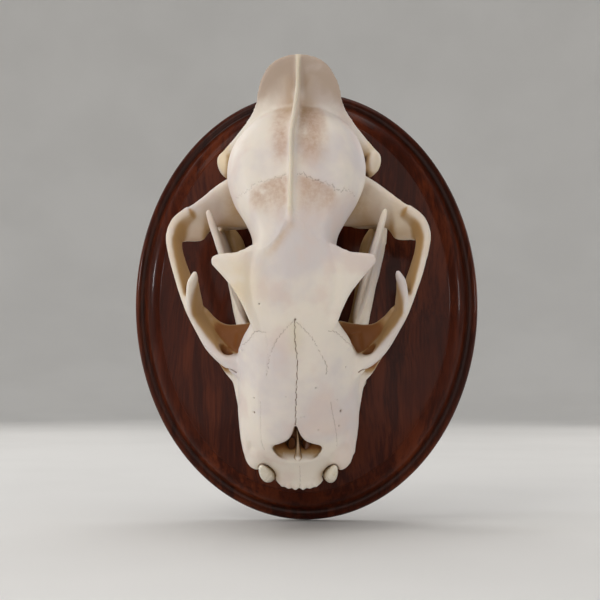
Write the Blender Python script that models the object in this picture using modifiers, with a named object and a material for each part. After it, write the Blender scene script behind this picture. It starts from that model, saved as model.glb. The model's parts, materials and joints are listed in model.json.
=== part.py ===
"""A leopard skull with its lower jaw, mounted on an oval moulded wall plaque.

Millimetres are used for every named size and turned into metres in one place, spot().
The back of the plaque is the plane Y = 0 and its centre is the origin. +Z is up the wall,
-Y comes out of the wall. The skull hangs nose down, with its crown towards the room.
A place on the skull is given as x (across), h (height above the plaque's face) and
z (up the wall). The sides are mirror images: side is -1 on the animal's right, 1 on its left.
"""

import math

import bmesh
import bpy
from mathutils import Matrix, Vector

MM = 0.001

# The plaque
PLAQUE_WIDTH = 203.2
PLAQUE_HEIGHT = 254.0
PLAQUE_THICK = 19.0
PLAQUE_SEGMENTS = 60
# Moulded edge, from the wall inwards: distance in from the outline, height above the wall
PLAQUE_PROFILE = (
    (0.0, 0.0), (0.0, 5.2), (1.0, 7.8), (3.4, 9.0), (6.0, 9.0), (7.4, 10.4),
    (9.6, 14.0), (12.6, 16.8), (16.4, 18.0), (17.2, PLAQUE_THICK),
)

# Clearances: between bones that touch, and round a tooth that stands in a notch
GAP = 0.3
TOOTH_ROOM = 0.8
# How far the back of the head leans to the animal's left, and over what length
NAPE_DRIFT = 2.2
DRIFT_FROM = 70.0
DRIFT_TO = 108.0

# Fineness of the solids: the skin's grid, and the triangles left in each bone
VOXEL = 1.2
CRANIUM_FACES = 5900
JAW_FACES = 1400
TOOTH_STEPS = 2
TOOTH_SIDES = 9

# Cross-sections of the head from back to nose. Each row is z, the height of the crown, then
# x and h of the shoulder, the side and the keel, and the height of the base.
CORE = (
    (101, 78, 8, 75, 12, 66, 8, 56, 54),
    (92, 86.5, 16, 82, 23, 66, 18, 48, 45),
    (82, 93.5, 23, 87, 31.5, 68, 25, 48, 43),
    (70, 98, 27, 90.5, 36, 70, 29, 50, 43),
    (58, 101, 27, 93.5, 36, 72.5, 28, 51, 44),
    (46, 103, 24, 96, 32, 76, 21, 54, 45),
    (36, 104.5, 20, 98, 26, 79, 15, 55, 46),
    (27, 105.4, 17, 99.5, 21.8, 82, 12.5, 55, 46),
    (16, 105.2, 20, 100.5, 20.5, 84, 12, 55, 46.5),
    (6, 104.2, 22, 99, 18, 80, 12.5, 53, 46.5),
    (-5, 102, 21, 97, 18, 77, 14.5, 50, 46),
    (-15, 98.8, 20.2, 93.5, 21.8, 80, 18, 48, 46),
    (-23, 95.8, 21.6, 88.5, 27.2, 74.5, 22, 46, 46.5),
    (-30, 93, 22, 85, 30.6, 69, 26, 45.5, 46.8),
    (-38, 90, 21.6, 82.4, 31.2, 65, 28, 45, 47),
    (-50, 85.5, 21.5, 78, 31.3, 60, 28.4, 44, 47),
    (-60, 81.2, 21.8, 73, 31.8, 57, 28, 43.5, 47),
    (-70, 76.2, 21.5, 68.5, 31.2, 55, 27.5, 43, 46.5),
    (-78, 71, 20.5, 64, 29.8, 53.5, 27, 42.5, 46),
    (-85, 63, 18.5, 58.5, 27.8, 51.5, 26, 42, 45.5),
    (-90, 55.5, 15, 53.5, 24.5, 49, 23, 41.8, 44.5),
    (-94.5, 50.8, 10.5, 49.8, 15.2, 46, 15, 41.6, 43.5),
    (-98.6, 48.2, 9, 47.4, 12.6, 44.4, 12, 41.2, 42),
    (-101.6, 46.4, 7, 45.8, 10.2, 43.8, 9.8, 41.4, 42),
    (-103, 45, 3.6, 44.6, 6, 43.4, 5.6, 42, 42.2),
)

# Rim of the nape from the top of the head to its base: x, h and z
NAPE_RIM = (
    (0, 94, 120), (8, 93, 119), (14.4, 90.5, 115.6), (19, 86.5, 110), (21.4, 82, 104),
    (22.4, 77, 99.2), (25.6, 70, 94.4), (30.4, 64, 89), (37, 56.8, 82.6), (43.4, 50.5, 76),
    (41, 43, 76), (31, 38.5, 82), (17, 39.5, 90), (0, 43.5, 93),
)
NAPE_THICK = 2.6
NAPE_HUB = (0, 60, 97)
NAPE_HEART = (0, 66, 62)
# Out of the nape, square to it: parts in height and up the wall
NAPE_NORMAL = (0, -0.46, 0.89)

# Thin keel along the crown: z, and the heights of its edge and its foot
CREST = (
    (119.6, 95.2, 92), (113, 97.4, 86), (104, 99.8, 78), (92, 102.4, 76), (78, 104.8, 76),
    (62, 106.6, 80), (48, 107.4, 86), (38, 106.9, 92), (31, 105.6, 96),
)
CREST_WIDTH = 3.2

# Arch of the cheek: x, h, z, thickness, depth and lean
ARCH = (
    (24, 61, -42, 16, 17, 0),
    (31, 60.4, -37.6, 11, 18, 2),
    (38, 59.2, -33.2, 8.6, 19.6, 6),
    (44.2, 57.6, -27, 7.6, 21.6, 10),
    (49.6, 56.4, -18.2, 6.2, 22, 14),
    (55, 56.2, -8, 5.0, 21, 17),
    (59.4, 57, 3, 5.0, 18, 19),
    (63.2, 57.6, 14, 5.2, 14.5, 20),
    (66, 57.6, 24, 5.8, 12.5, 20),
    (66.6, 57.4, 31.5, 6.4, 12.5, 22),
    (63.6, 57, 38.5, 6.6, 13.5, 26),
    (57, 56, 43.5, 6.6, 14, 30),
)
# Spur of the cheek bone behind the eye
SPUR = (
    (54.2, 58, -9, 4.2, 18, 16),
    (55.2, 64, -1, 4.4, 16, 16),
    (54.8, 70, 5.5, 4.0, 10, 16),
    (53.4, 73.4, 8.8, 3.4, 5.5, 16),
    (52.6, 75.4, 10.8, 2.4, 2.4, 16),
)
# Root of the arch behind the jaw joint: x, then z and h of its front and rear edges, thickness
SHELF = (
    (22, 38, 51, 69, 64, 9),
    (30, 37.5, 48, 66, 62, 8),
    (38, 38.2, 46.5, 62, 61, 7),
    (43.5, 38.6, 46.5, 58.5, 60.5, 6.6),
    (48.6, 36, 46.5, 54.6, 60, 6.4),
    (52, 31.4, 46.5, 52.0, 59.6, 6),
    (56, 30.4, 47, 49.0, 59.6, 5.8),
    (60, 30.2, 48, 46, 60, 5.6),
    (65, 29.5, 52, 40.5, 61, 5),
)
# Floor of the eye pit, over the last cheek teeth: same columns as the shelf
EYE_FLOOR = (
    (21, -50, 50.5, -13, 48, 9),
    (29, -50.5, 50.5, -14.6, 48, 9),
    (35, -46.5, 50.5, -15.2, 48.5, 8),
    (40.5, -40, 50.8, -14.8, 49, 7),
    (45.6, -31.5, 51, -11.2, 50, 5.8),
    (50, -22, 51.5, -6, 51.5, 5),
)
# Horn of the brow over the eye: same columns as the shelf
BROW = (
    (2, -26, 89.4, 24, 99.4, 10),
    (12, -24, 89, 23.4, 98.2, 9.4),
    (20, -20, 90, 22.6, 96.6, 9),
    (24.4, -10.6, 92.6, 20.2, 96.2, 8.6),
    (28.6, -2.2, 94.2, 18.8, 96.4, 7.6),
    (34, 5, 95, 18.4, 96.2, 6.2),
    (38.4, 10, 95.4, 18.0, 95.8, 5.0),
    (41.4, 13, 95.2, 16.6, 95.4, 3.4),
)

# Bar of bone that carries the upper cheek teeth, and the thin wing beside the throat, both
# with the arch's columns
GUM = (
    (25.5, 47, -84, 9, 10, 0), (27.6, 47.5, -66, 8.4, 10, 0), (30, 48, -50, 9, 11, 0),
    (32.4, 49, -36, 10, 12, 0), (30, 49.5, -20, 8, 10, 0),
)
THROAT_WING = (
    (13, 49, -12, 3.6, 12, 0), (11.5, 45, 2, 3.0, 16, 0), (10.5, 43, 16, 3.0, 16, 0),
    (10.6, 40, 27, 3.0, 12, 0),
)
# Round forms: name, middle, radii and lean
BASE = ((0, 49, 56), (13, 6, 40))
SWELLINGS = (
    ("hook_behind_joint", (38.5, 40.5, 53.2), (12.5, 9, 3.6), (-10, 0, 0)),
    ("mastoid", (38.8, 50, 71), (5.2, 9, 8), (0, 24, 0)),
    ("nape_spur", (28, 40, 81), (4, 9.5, 3.6), (0, 0, 0)),
    ("ear_drum", (18.5, 41, 61), (10.5, 10.5, 15.5), (0, 12, 0)),
    ("neck_knuckle", (12.5, 50, 95.5), (7.2, 9.5, 6), (0, 0, 0)),
    ("canine_root", (21.4, 50, -83), (7.8, 9.5, 10.4), (18, 0, 0)),
    ("side_of_muzzle", (26.4, 52, -66), (5, 10, 22), (0, 0, 0)),
)

# Nose opening seen from above: x and z of its edge, from the notch between the nose bones
NOSE_EDGE = (
    (0, -65.5), (0.9, -69.5), (2.4, -73), (5, -75.8), (9, -77.4), (12.9, -78.6),
    (12.2, -81.2), (9.5, -84.2), (5.5, -86.4), (0, -87.4),
)
NOSE_FLOOR = 50.5
# Size of that cut at a few heights against its size at the rim
NOSE_DEPTHS = ((0.0, 0.62), (5.0, 0.84), (12.0, 1.0), (45.0, 1.04))
NOSE_PASSAGE = (
    # x, h, z, width and height of each passage behind the opening
    (5.0, 55.5, -85, 6.6, 9),
    (5.4, 57, -80, 8.4, 15),
    (5.8, 60, -72, 9.4, 17),
    (5.6, 61.5, -62, 8.8, 15),
    (5.2, 62, -50, 6, 10),
)
# Slits through the palate, seen through the nose opening
PALATE_SLIT = ((3.8, 38, -83.4, 3.6, 6.4), (3.8, 46, -82.4, 3.8, 7.6), (4.2, 54, -80.4, 4.6, 8.4))
CHEEK_CANAL = (
    (34.0, 60.2, -58, 6.6, 8.4),
    (35.6, 59.8, -46, 6.6, 8.8),
    (37.0, 59.4, -36, 6.6, 8.4),
    (38.5, 60.5, -26, 7, 8),
)
# Hollows of the eye pit: middle and radii
EYE_PITS = (
    ((35.4, 69, -21), (8.2, 13.5, 12)),
    ((38.6, 73, -8), (10.8, 15, 14)),
)

# Way out for the spine, and the ear's opening: middle and radii
SPINE_WAY = ((0, 58, 101), (10, 9, 15))
EAR_WAY = ((36, 46.5, 66), (7, 4.2, 4.2))

# Jaw joint: the knuckle's axis and its radius along it
KNUCKLE_H = 36.2
KNUCKLE_Z = 43.6
KNUCKLE = ((26.6, 2.4), (28.4, 4.7), (33, 5.6), (42, 5.8), (48.4, 5.0), (51.2, 2.6))
JOINT_ROOM = 0.45
JOINT_LONGER = 1.6

# Lower jaw: sections along its body, z, x of its inner and outer sides, lowest and highest h
JAW_BODY = (
    (-99.5, -0.6, 9.5, 22.5, 31.5),
    (-95.5, -0.8, 14.5, 14, 33.5),
    (-88.5, -0.8, 18.2, 6.5, 34),
    (-80, -0.4, 19.2, 2.6, 31.5),
    (-71, 4.5, 20.6, 1.1, 29),
    (-60, 12, 24.2, 0.6, 28),
    (-46, 17.4, 29, 0.3, 28),
    (-30, 21.4, 33.6, 0.2, 28.4),
    (-14, 25.6, 37.4, 0.5, 29),
    (0, 30, 40.2, 1.6, 30),
    (12, 33.8, 42.6, 2.0, 30),
    (24, 37.2, 45.2, 2.0, 30),
    (34, 40, 47, 2.4, 29),
    (41, 42, 48, 4, 27),
)
# Blade of the lower jaw: h, then z and x of its front and rear edges, and its thickness
JAW_BLADE = (
    (8, -8, 34, 37, 45.6, 7.6),
    (20, -12, 31, 40, 46, 7),
    (30, -14.5, 29.6, 41.4, 45.2, 6),
    (40, -13, 29.8, 37.4, 43.8, 5.2),
    (50, -5.5, 32, 35.4, 43.4, 4.6),
    (60, 7, 35.6, 37.4, 44.8, 4.0),
    (67, 20, 39.4, 42.6, 46.5, 3.6),
    (71, 31, 42.8, 44.2, 46.8, 3.4),
    (72.6, 36, 44.4, 42.6, 46.4, 2.8),
)
HEEL = (
    (44.4, 13, 33, 7, 14), (45.4, 10.5, 42, 6, 11), (45.6, 10, 49, 4.6, 7.5),
    (45.2, 11, 53.4, 2.4, 3.6),
)
NECK = ((44.4, 24, 35, 7.2, 14), (43.8, 30, 40, 8, 12), (42.4, 34.5, 42.6, 9, 9))
# Hollow of the chewing muscle on the blade's outer side, and the block that trims the chin
MUSCLE_HOLLOW = ((51.6, 33, 17), (8, 13, 19), (28, 0, 0))
CHIN_BLOCK = (20.0, 60.0, 60.0)
CHIN_BLOCK_H = 20.0
CHIN_BLOCK_Z = -90.0

# Teeth: x, h and z along each tooth from its buried root to its tip, and its two widths
UPPER_CANINE = (
    (22, 52, -78.5, 7, 9), (23.0, 47.5, -81.6, 9.6, 12.6), (23.6, 41, -84.6, 10.4, 13.6),
    (24.0, 31, -87, 8.8, 11), (23.8, 20, -87.6, 6.6, 8), (23.2, 11, -86.4, 4.2, 5),
    (22.6, 5.4, -84.8, 1.6, 1.8),
)
LOWER_CANINE = (
    (11.2, 13, -80, 8, 11), (13.0, 22, -86.5, 9.4, 12.5), (14.6, 31, -91.2, 8.8, 11.6),
    (15.8, 39, -94.6, 7.8, 10.6), (17.0, 46, -95.6, 7.0, 9.2), (18.2, 52, -94.2, 5.8, 7.2),
    (19.2, 56.4, -91.8, 3.6, 4.2), (19.6, 58.4, -90.8, 1.4, 1.6),
)
# Where the notch for the lower canine ends, past its tip
LOWER_CANINE_BEYOND = (20.6, 63, -88.6, 3, 3)
# Cheek teeth: x and z of the middle, length, width, h of the gum line, and the cusps, each
# with its place along the tooth, the h of its tip, and its share of the length
UPPER_CHEEK = (
    (25.8, -71.6, 5.6, 4.6, 43, ((0, 37, 0.9),)),
    (28.4, -58.5, 17.5, 7.6, 43.5, ((-0.06, 31.5, 0.56), (0.7, 37.5, 0.32), (-0.74, 38.5, 0.26))),
    (32.4, -37, 25.5, 7.8, 44, ((-0.66, 36, 0.32), (-0.1, 29.6, 0.42), (0.6, 34, 0.4))),
    (28.4, -21.6, 4.6, 8.4, 45, ((0, 40.5, 0.9),)),
)
LOWER_CHEEK = (
    (20.2, -58, 12, 5.6, 28, ((0, 37, 0.6), (0.72, 32, 0.28), (-0.72, 32, 0.28))),
    (22.6, -43.6, 16.5, 6.2, 28, ((0, 39.6, 0.54), (0.72, 33.5, 0.3), (-0.74, 33.5, 0.28))),
    (24.4, -25, 19, 6.2, 28.5, ((-0.48, 40, 0.5), (0.46, 41, 0.52))),
)
# Front teeth: x, z, and size against the middle one, with the h of their two gum lines
UPPER_GUM = 42.0
LOWER_GUM = 31.5
UPPER_FRONT = ((2.7, -100.2, 1.0), (6.4, -99.8, 1.1), (9.7, -98.6, 1.25))
LOWER_FRONT = ((1.9, -96.2, 0.85), (4.9, -95.8, 0.95), (7.8, -94.8, 1.05))


def spot(x, h, z):
    """The world place, in metres, of a point given on the skull in millimetres."""
    return Vector((x, -(PLAQUE_THICK + h), z)) * MM


def clear_scene():
    for obj in list(bpy.data.objects):
        bpy.data.objects.remove(obj)


def new_group(name, hidden=False):
    group = bpy.data.collections.new(name)
    bpy.context.scene.collection.children.link(group)
    group.hide_render = hidden
    return group


def clear_group(group):
    for obj in list(group.objects):
        bpy.data.objects.remove(obj)
    bpy.data.collections.remove(group)


def new_material(name, colour, roughness):
    made = bpy.data.materials.new(name)
    made.use_nodes = True
    shader = made.node_tree.nodes["Principled BSDF"]
    shader.inputs["Base Color"].default_value = (*colour, 1.0)
    shader.inputs["Roughness"].default_value = roughness
    shader.inputs["Metallic"].default_value = 0.0
    made.diffuse_color = (*colour, 1.0)
    return made


def new_object(name, mesh, group):
    obj = bpy.data.objects.new(name, mesh)
    group.objects.link(obj)
    return obj


def smooth_value(four, t):
    """A Catmull-Rom value at t between the middle two of four values."""
    a, b, c, d = four
    curve = (3 * b - a - 3 * c + d) * t * t * t
    return 0.5 * (2 * b + (c - a) * t + (2 * a - 5 * b + 4 * c - d) * t * t + curve)


def along(rows, steps):
    """Rows of numbers with steps - 1 smooth rows put in between each two."""
    last = len(rows) - 1
    made = []
    for i in range(last):
        four = [rows[max(i - 1, 0)], rows[i], rows[i + 1], rows[min(i + 2, last)]]
        for k in range(steps):
            made.append(tuple(smooth_value(column, k / steps) for column in zip(*four)))
    made.append(tuple(rows[-1]))
    return made


def around(points, steps):
    """A closed smooth loop with steps points for each one given."""
    count = len(points)
    made = []
    for i in range(count):
        four = [points[(i + k) % count] for k in (-1, 0, 1, 2)]
        for k in range(steps):
            made.append(tuple(smooth_value(column, k / steps) for column in zip(*four)))
    return made


def both_sides(half):
    """A closed loop of points from its right half, whose ends lie on the middle line."""
    return list(half) + [(-p[0], *p[1:]) for p in reversed(half[1:-1])]


def loft(name, rings, group):
    """A closed body through rings of world points, with a fan on each end."""
    body = bmesh.new()
    loops = [[body.verts.new(place) for place in ring] for ring in rings]
    for lower, upper in zip(loops, loops[1:]):
        for i in range(len(lower)):
            j = (i + 1) % len(lower)
            body.faces.new((lower[i], lower[j], upper[j], upper[i]))
    for loop in (loops[0], loops[-1]):
        middle = body.verts.new(sum((v.co for v in loop), Vector()) / len(loop))
        for i in range(len(loop)):
            body.faces.new((loop[i], loop[(i + 1) % len(loop)], middle))
    bmesh.ops.recalc_face_normals(body, faces=body.faces)
    mesh = bpy.data.meshes.new(name)
    body.to_mesh(mesh)
    body.free()
    return new_object(name, mesh, group)


def oval(centre, across, upward, wide, tall, sides=16, power=2.0):
    """Points of an oval of the given width and height, squarer as power passes 2."""
    ring = []
    for k in range(sides):
        angle = 2 * math.pi * k / sides
        c, s = math.cos(angle), math.sin(angle)
        u = math.copysign(abs(c) ** (2 / power), c) * wide / 2
        v = math.copysign(abs(s) ** (2 / power), s) * tall / 2
        ring.append(centre + (across * u + upward * v) * MM)
    return ring


def heading(centres, i):
    return (centres[min(i + 1, len(centres) - 1)] - centres[max(i - 1, 0)]).normalized()


def plate(name, rows, side, group, steps=3, sides=16, power=2.6):
    """A flat bar along a path. A row is x, h, z, thickness, depth and lean in degrees.

    The depth stands up from the plaque, turned about the path by the lean.
    """
    rows = along(rows, steps)
    centres = [spot(side * row[0], row[1], row[2]) for row in rows]
    rings = []
    for i, row in enumerate(rows):
        ahead = heading(centres, i)
        out = Vector((0, -1, 0))
        upward = (out - ahead * out.dot(ahead)).normalized()
        upward = Matrix.Rotation(math.radians(side * row[5]), 3, ahead) @ upward
        rings.append(oval(centres[i], upward.cross(ahead), upward, row[3], row[4], sides, power))
    return loft(name, rings, group)


def spike(name, rows, side, group, steps=3, sides=12, grow=0.0):
    """A round body along a path. A row is x, h, z, and the widths across it and along it."""
    rows = along(rows, steps)
    centres = [spot(side * row[0], row[1], row[2]) for row in rows]
    rings = []
    for i, row in enumerate(rows):
        ahead = heading(centres, i)
        out = Vector((1, 0, 0))
        across = (out - ahead * out.dot(ahead)).normalized()
        wide, tall = row[3] + 2 * grow, row[4] + 2 * grow
        rings.append(oval(centres[i], across, ahead.cross(across), wide, tall, sides))
    return loft(name, rings, group)


def slab(name, rows, side, group, steps=3, sides=20, power=2.8):
    """A slab across the skull. A row is x, z and h of its front and rear edges, thickness."""
    rings = []
    for x, z0, h0, z1, h1, thick in along(rows, steps):
        front, rear = spot(side * x, h0, z0), spot(side * x, h1, z1)
        length = (rear - front).length / MM
        lengthwise = (rear - front).normalized()
        upward = Vector((1, 0, 0)).cross(lengthwise)
        rings.append(oval((front + rear) / 2, lengthwise, upward, length, thick, sides, power))
    return loft(name, rings, group)


def blob(name, place, radii, side, group, lean=(0, 0, 0), segments=24):
    """An ellipsoid. Radii run across, in height and up the wall, the lean is in degrees."""
    mesh = bpy.data.meshes.new(name)
    body = bmesh.new()
    rows = segments // 2
    bmesh.ops.create_uvsphere(body, u_segments=segments, v_segments=rows, radius=MM)
    turn = Matrix.Identity(4)
    for angle, axis in zip(lean, "XYZ"):
        way = 1 if axis == "X" else side
        turn = Matrix.Rotation(math.radians(way * angle), 4, axis) @ turn
    move = Matrix.Translation(spot(side * place[0], place[1], place[2]))
    bmesh.ops.transform(body, matrix=move @ turn @ Matrix.Diagonal((*radii, 1)), verts=body.verts)
    body.to_mesh(mesh)
    body.free()
    return new_object(name, mesh, group)


def head(group):
    """The closed shape of the head and muzzle."""
    rings = []
    for z, crown, sx, sh, wx, wh, kx, kh, base in along(CORE, 3):
        top = (sx * 0.52, crown * 0.74 + sh * 0.26)
        half = ((0, crown), top, (sx, sh), (wx, wh), (kx, kh), (0, base))
        rings.append([spot(x, h, z) for x, h in around(both_sides(half), 4)])
    return loft("head", rings, group)


def nape(group):
    """The shield at the back of the head, with its flared rim."""
    rim = [spot(*p) for p in around(both_sides(NAPE_RIM), 3)]
    heart, hub = spot(*NAPE_HEART), spot(*NAPE_HUB)
    back = (spot(*NAPE_NORMAL) - spot(0, 0, 0)) * NAPE_THICK / 2
    rings = [
        [p.lerp(heart, 0.85) for p in rim],
        [p.lerp(heart, 0.4) for p in rim],
        [p.lerp(heart, 0.12) - back * 0.4 for p in rim],
        [p.lerp(heart, 0.02) - back for p in rim],
        [p + (p - hub) * 0.02 for p in rim],
        [p.lerp(hub, 0.03) + back for p in rim],
        [p.lerp(hub, 0.3) - back * 0.6 for p in rim],
        [p.lerp(hub, 0.8) - back * 0.2 for p in rim],
    ]
    return loft("nape", rings, group)


def crest(group):
    """The thin keel along the top of the head."""
    half = CREST_WIDTH / 2
    rings = []
    for z, top, foot in along(CREST, 3):
        drop = top - foot
        edge = [(0, top), (half * 0.8, top - 0.06 * drop), (half, top - 0.2 * drop),
                (half * 1.5, top - 0.4 * drop), (half * 2.4, foot), (0, foot - 0.5)]
        rings.append([spot(x, h, z) for x, h in both_sides(edge)])
    return loft("crest", rings, group)


def cranium_pieces(group):
    head(group)
    nape(group)
    crest(group)
    blob("base", *BASE, 1, group)
    for side in (-1, 1):
        plate("arch", ARCH, side, group)
        plate("spur", SPUR, side, group, sides=12, power=2.3)
        plate("gum", GUM, side, group)
        plate("throat_wing", THROAT_WING, side, group)
        slab("shelf", SHELF, side, group)
        slab("eye_floor", EYE_FLOOR, side, group)
        slab("brow", BROW, side, group)
        for name, middle, radii, lean in SWELLINGS:
            blob(name, middle, radii, side, group, lean)


def nose_opening(group):
    """The cut that opens the nose, narrower towards its floor."""
    edge = around(both_sides(NOSE_EDGE), 2)
    middle_z = (NOSE_EDGE[0][1] + NOSE_EDGE[-1][1]) / 2 - 3
    rings = []
    for rise, scale in NOSE_DEPTHS:
        ring = [(x * scale, middle_z + (z - middle_z) * scale) for x, z in edge]
        rings.append([spot(x, NOSE_FLOOR + rise, z) for x, z in ring])
    return loft("nose_opening", rings, group)


def cranium_cutters(group):
    """What is hollow: the nose, the eye pits, the way out for the spine, and the joints."""
    nose_opening(group)
    blob("spine_way", *SPINE_WAY, 1, group)
    for side in (-1, 1):
        rings = []
        for x, h, z, wide, tall in along(NOSE_PASSAGE, 2):
            centre = spot(side * x, h, z)
            rings.append(oval(centre, Vector((1, 0, 0)), Vector((0, -1, 0)), wide, tall))
        loft("nose_passage", rings, group)
        spike("palate_slit", PALATE_SLIT, side, group)
        spike("cheek_canal", CHEEK_CANAL, side, group)
        for middle, radii in EYE_PITS:
            blob("eye_pit", middle, radii, side, group)
        blob("ear_way", *EAR_WAY, side, group)
        knuckle("joint_hollow", side, group, JOINT_ROOM, JOINT_LONGER)
        tooth = (*LOWER_CANINE[3:], LOWER_CANINE_BEYOND)
        spike("lower_canine_notch", tooth, side, group, 3, 14, TOOTH_ROOM)


def knuckle(name, side, group, grow=0.0, longer=0.0):
    """The roller of the jaw joint, lying across the skull, or the hollow that holds it."""
    middle = (KNUCKLE[0][0] + KNUCKLE[-1][0]) / 2
    rings = []
    for x, radius in along(KNUCKLE, 2):
        place = x + math.copysign(longer, x - middle)
        width = 2 * (radius + grow)
        centre = spot(side * place, KNUCKLE_H, KNUCKLE_Z)
        rings.append(oval(centre, Vector((0, 0, 1)), Vector((0, -1, 0)), width, width, 16))
    return loft(name, rings, group)


def jaw_pieces(side, group):
    rings = []
    for z, inner, outer, low, high in along(JAW_BODY, 3):
        centre = spot(side * (inner + outer) / 2, (low + high) / 2, z)
        wide, tall = outer - inner, high - low
        rings.append(oval(centre, Vector((1, 0, 0)), Vector((0, -1, 0)), wide, tall, 20, 2.7))
    loft("jaw_body", rings, group)
    rings = []
    for h, z0, x0, z1, x1, thick in along(JAW_BLADE, 3):
        front, rear = spot(side * x0, h, z0), spot(side * x1, h, z1)
        length = (rear - front).length / MM
        lengthwise = (rear - front).normalized()
        across = lengthwise.cross(Vector((0, -1, 0))).normalized()
        rings.append(oval((front + rear) / 2, lengthwise, across, length, thick, 24, 2.8))
    loft("jaw_blade", rings, group)
    knuckle("jaw_knuckle", side, group)
    spike("jaw_heel", HEEL, side, group)
    spike("jaw_neck", NECK, side, group)


def jaw_cutters(side, group):
    """The flat where the jaws meet, the hollow of the chewing muscle, room for a tooth."""
    mesh = bpy.data.meshes.new("middle_cut")
    body = bmesh.new()
    bmesh.ops.create_cube(body, size=1.0)
    size = Matrix.Diagonal((*(Vector(CHIN_BLOCK) * MM), 1))
    place = spot(side * (GAP - CHIN_BLOCK[0]) / 2, CHIN_BLOCK_H, CHIN_BLOCK_Z)
    bmesh.ops.transform(body, matrix=Matrix.Translation(place) @ size, verts=body.verts)
    body.to_mesh(mesh)
    body.free()
    new_object("middle_cut", mesh, group)
    spike("upper_canine_room", UPPER_CANINE[2:], side, group, 3, 14, TOOTH_ROOM)
    middle, radii, lean = MUSCLE_HOLLOW
    blob("muscle_hollow", middle, radii, side, group, lean)


def tooth_row(side, group, canine, cheek, front, up):
    """One side's teeth. up is 1 where the crowns point up from the gum, else -1."""
    spike("canine", canine, side, group, TOOTH_STEPS, TOOTH_SIDES + 3)
    for x, z, length, width, gum, cusps in cheek:
        tallest = max(abs(tip - gum) for _, tip, _ in cusps)
        rows = (
            (x, gum - up * 4, z, width * 0.86, length * 0.9),
            (x, gum + up * 1.5, z, width, length),
            (x, gum + up * tallest * 0.46, z, width * 0.66, length * 0.84),
        )
        spike("crown", rows, side, group, TOOTH_STEPS - 1, TOOTH_SIDES)
        for place, tip, share in cusps:
            middle = z + place * length / 2
            half = length * share
            rows = (
                (x, gum - up * 4, middle, width * 0.86, half * 1.0),
                (x, gum + up * 1.5, middle, width, half * 1.12),
                (x, gum + (tip - gum) * 0.55, middle, width * 0.74, half * 0.8),
                (x, tip, middle, width * 0.22, half * 0.2),
            )
            spike("cusp", rows, side, group, TOOTH_STEPS - 1, TOOTH_SIDES)
    for x, z, size in front:
        gum = UPPER_GUM if up < 0 else LOWER_GUM
        rows = (
            (x, gum - up * 2.4, z + 2, 3.0 * size, 3.6 * size),
            (x, gum + up * 1, z, 3.6 * size, 4.2 * size),
            (x, gum + up * 4.2 * size, z - 0.3, 3.4 * size, 3.0 * size),
            (x, gum + up * 6.8 * size, z + 0.2, 2.4 * size, 1.2 * size),
        )
        spike("front_tooth", rows, side, group, TOOTH_STEPS - 1, TOOTH_SIDES)


def add_boolean(obj, name, operation, group):
    cut = obj.modifiers.new(name, "BOOLEAN")
    cut.operation = operation
    cut.solver = "MANIFOLD"
    cut.operand_type = "COLLECTION"
    cut.collection = group
    for piece in group.objects:
        piece.display_type = "WIRE"


def as_mesh(obj):
    graph = bpy.context.evaluated_depsgraph_get()
    return bpy.data.meshes.new_from_object(obj.evaluated_get(graph))


def joined(pieces, name):
    """The union of a group's objects as one object, with the group's own pieces removed."""
    first, *others = list(pieces.objects)
    rest = new_group(name + "_rest", hidden=True)
    for obj in others:
        pieces.objects.unlink(obj)
        rest.objects.link(obj)
    add_boolean(first, "join", "UNION", rest)
    mesh = as_mesh(first)
    clear_group(rest)
    clear_group(pieces)
    return mesh


def largest_body(mesh):
    """Leaves only the biggest closed surface of the mesh."""
    body = bmesh.new()
    body.from_mesh(mesh)
    left, shells = set(body.verts), []
    while left:
        stack, shell = [left.pop()], []
        while stack:
            vert = stack.pop()
            shell.append(vert)
            near = [edge.other_vert(vert) for edge in vert.link_edges]
            stack += [other for other in near if other in left]
            left.difference_update(near)
        shells.append(shell)
    shells.sort(key=len)
    for shell in shells[:-1]:
        bmesh.ops.delete(body, geom=shell, context="VERTS")
    body.to_mesh(mesh)
    body.free()
    return mesh


def lean_nape(mesh):
    """Moves the back of the head a little to the side."""
    for vert in mesh.vertices:
        share = (vert.co.z / MM - DRIFT_FROM) / (DRIFT_TO - DRIFT_FROM)
        share = min(max(share, 0.0), 1.0)
        vert.co.x += NAPE_DRIFT * MM * share * share * (3 - 2 * share)


def bone(name, pieces, cutters, teeth, faces, look, shown):
    """One bone: its pieces are joined, cut, given one even skin, and then its teeth."""
    body = new_object(name + "_body", joined(pieces, name), shown)
    add_boolean(body, "cut", "DIFFERENCE", cutters)
    skin = body.modifiers.new("skin", "REMESH")
    skin.mode = "VOXEL"
    skin.voxel_size = VOXEL * MM
    soften = body.modifiers.new("soften", "SMOOTH")
    soften.factor = 0.5
    soften.iterations = 4
    mesh = largest_body(as_mesh(body))
    bpy.data.objects.remove(body)
    clear_group(cutters)
    body = new_object(name + "_body", mesh, shown)
    fewer = body.modifiers.new("fewer", "DECIMATE")
    fewer.ratio = min(1.0, faces / (2 * len(mesh.polygons)))
    body.data = as_mesh(body)
    body.modifiers.clear()
    lean_nape(body.data)
    add_boolean(body, "teeth", "UNION", teeth)
    mesh = largest_body(as_mesh(body))
    bpy.data.objects.remove(body)
    clear_group(teeth)
    mesh.materials.clear()
    mesh.materials.append(look)
    mesh.shade_smooth()
    return new_object(name, mesh, shown)


def cranium(look, shown):
    pieces, cutters, teeth = (new_group("cranium_" + n, True) for n in ("pieces", "cuts", "teeth"))
    cranium_pieces(pieces)
    cranium_cutters(cutters)
    for side in (-1, 1):
        tooth_row(side, teeth, UPPER_CANINE, UPPER_CHEEK, UPPER_FRONT, -1)
    return bone("cranium", pieces, cutters, teeth, CRANIUM_FACES, look, shown)


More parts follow.
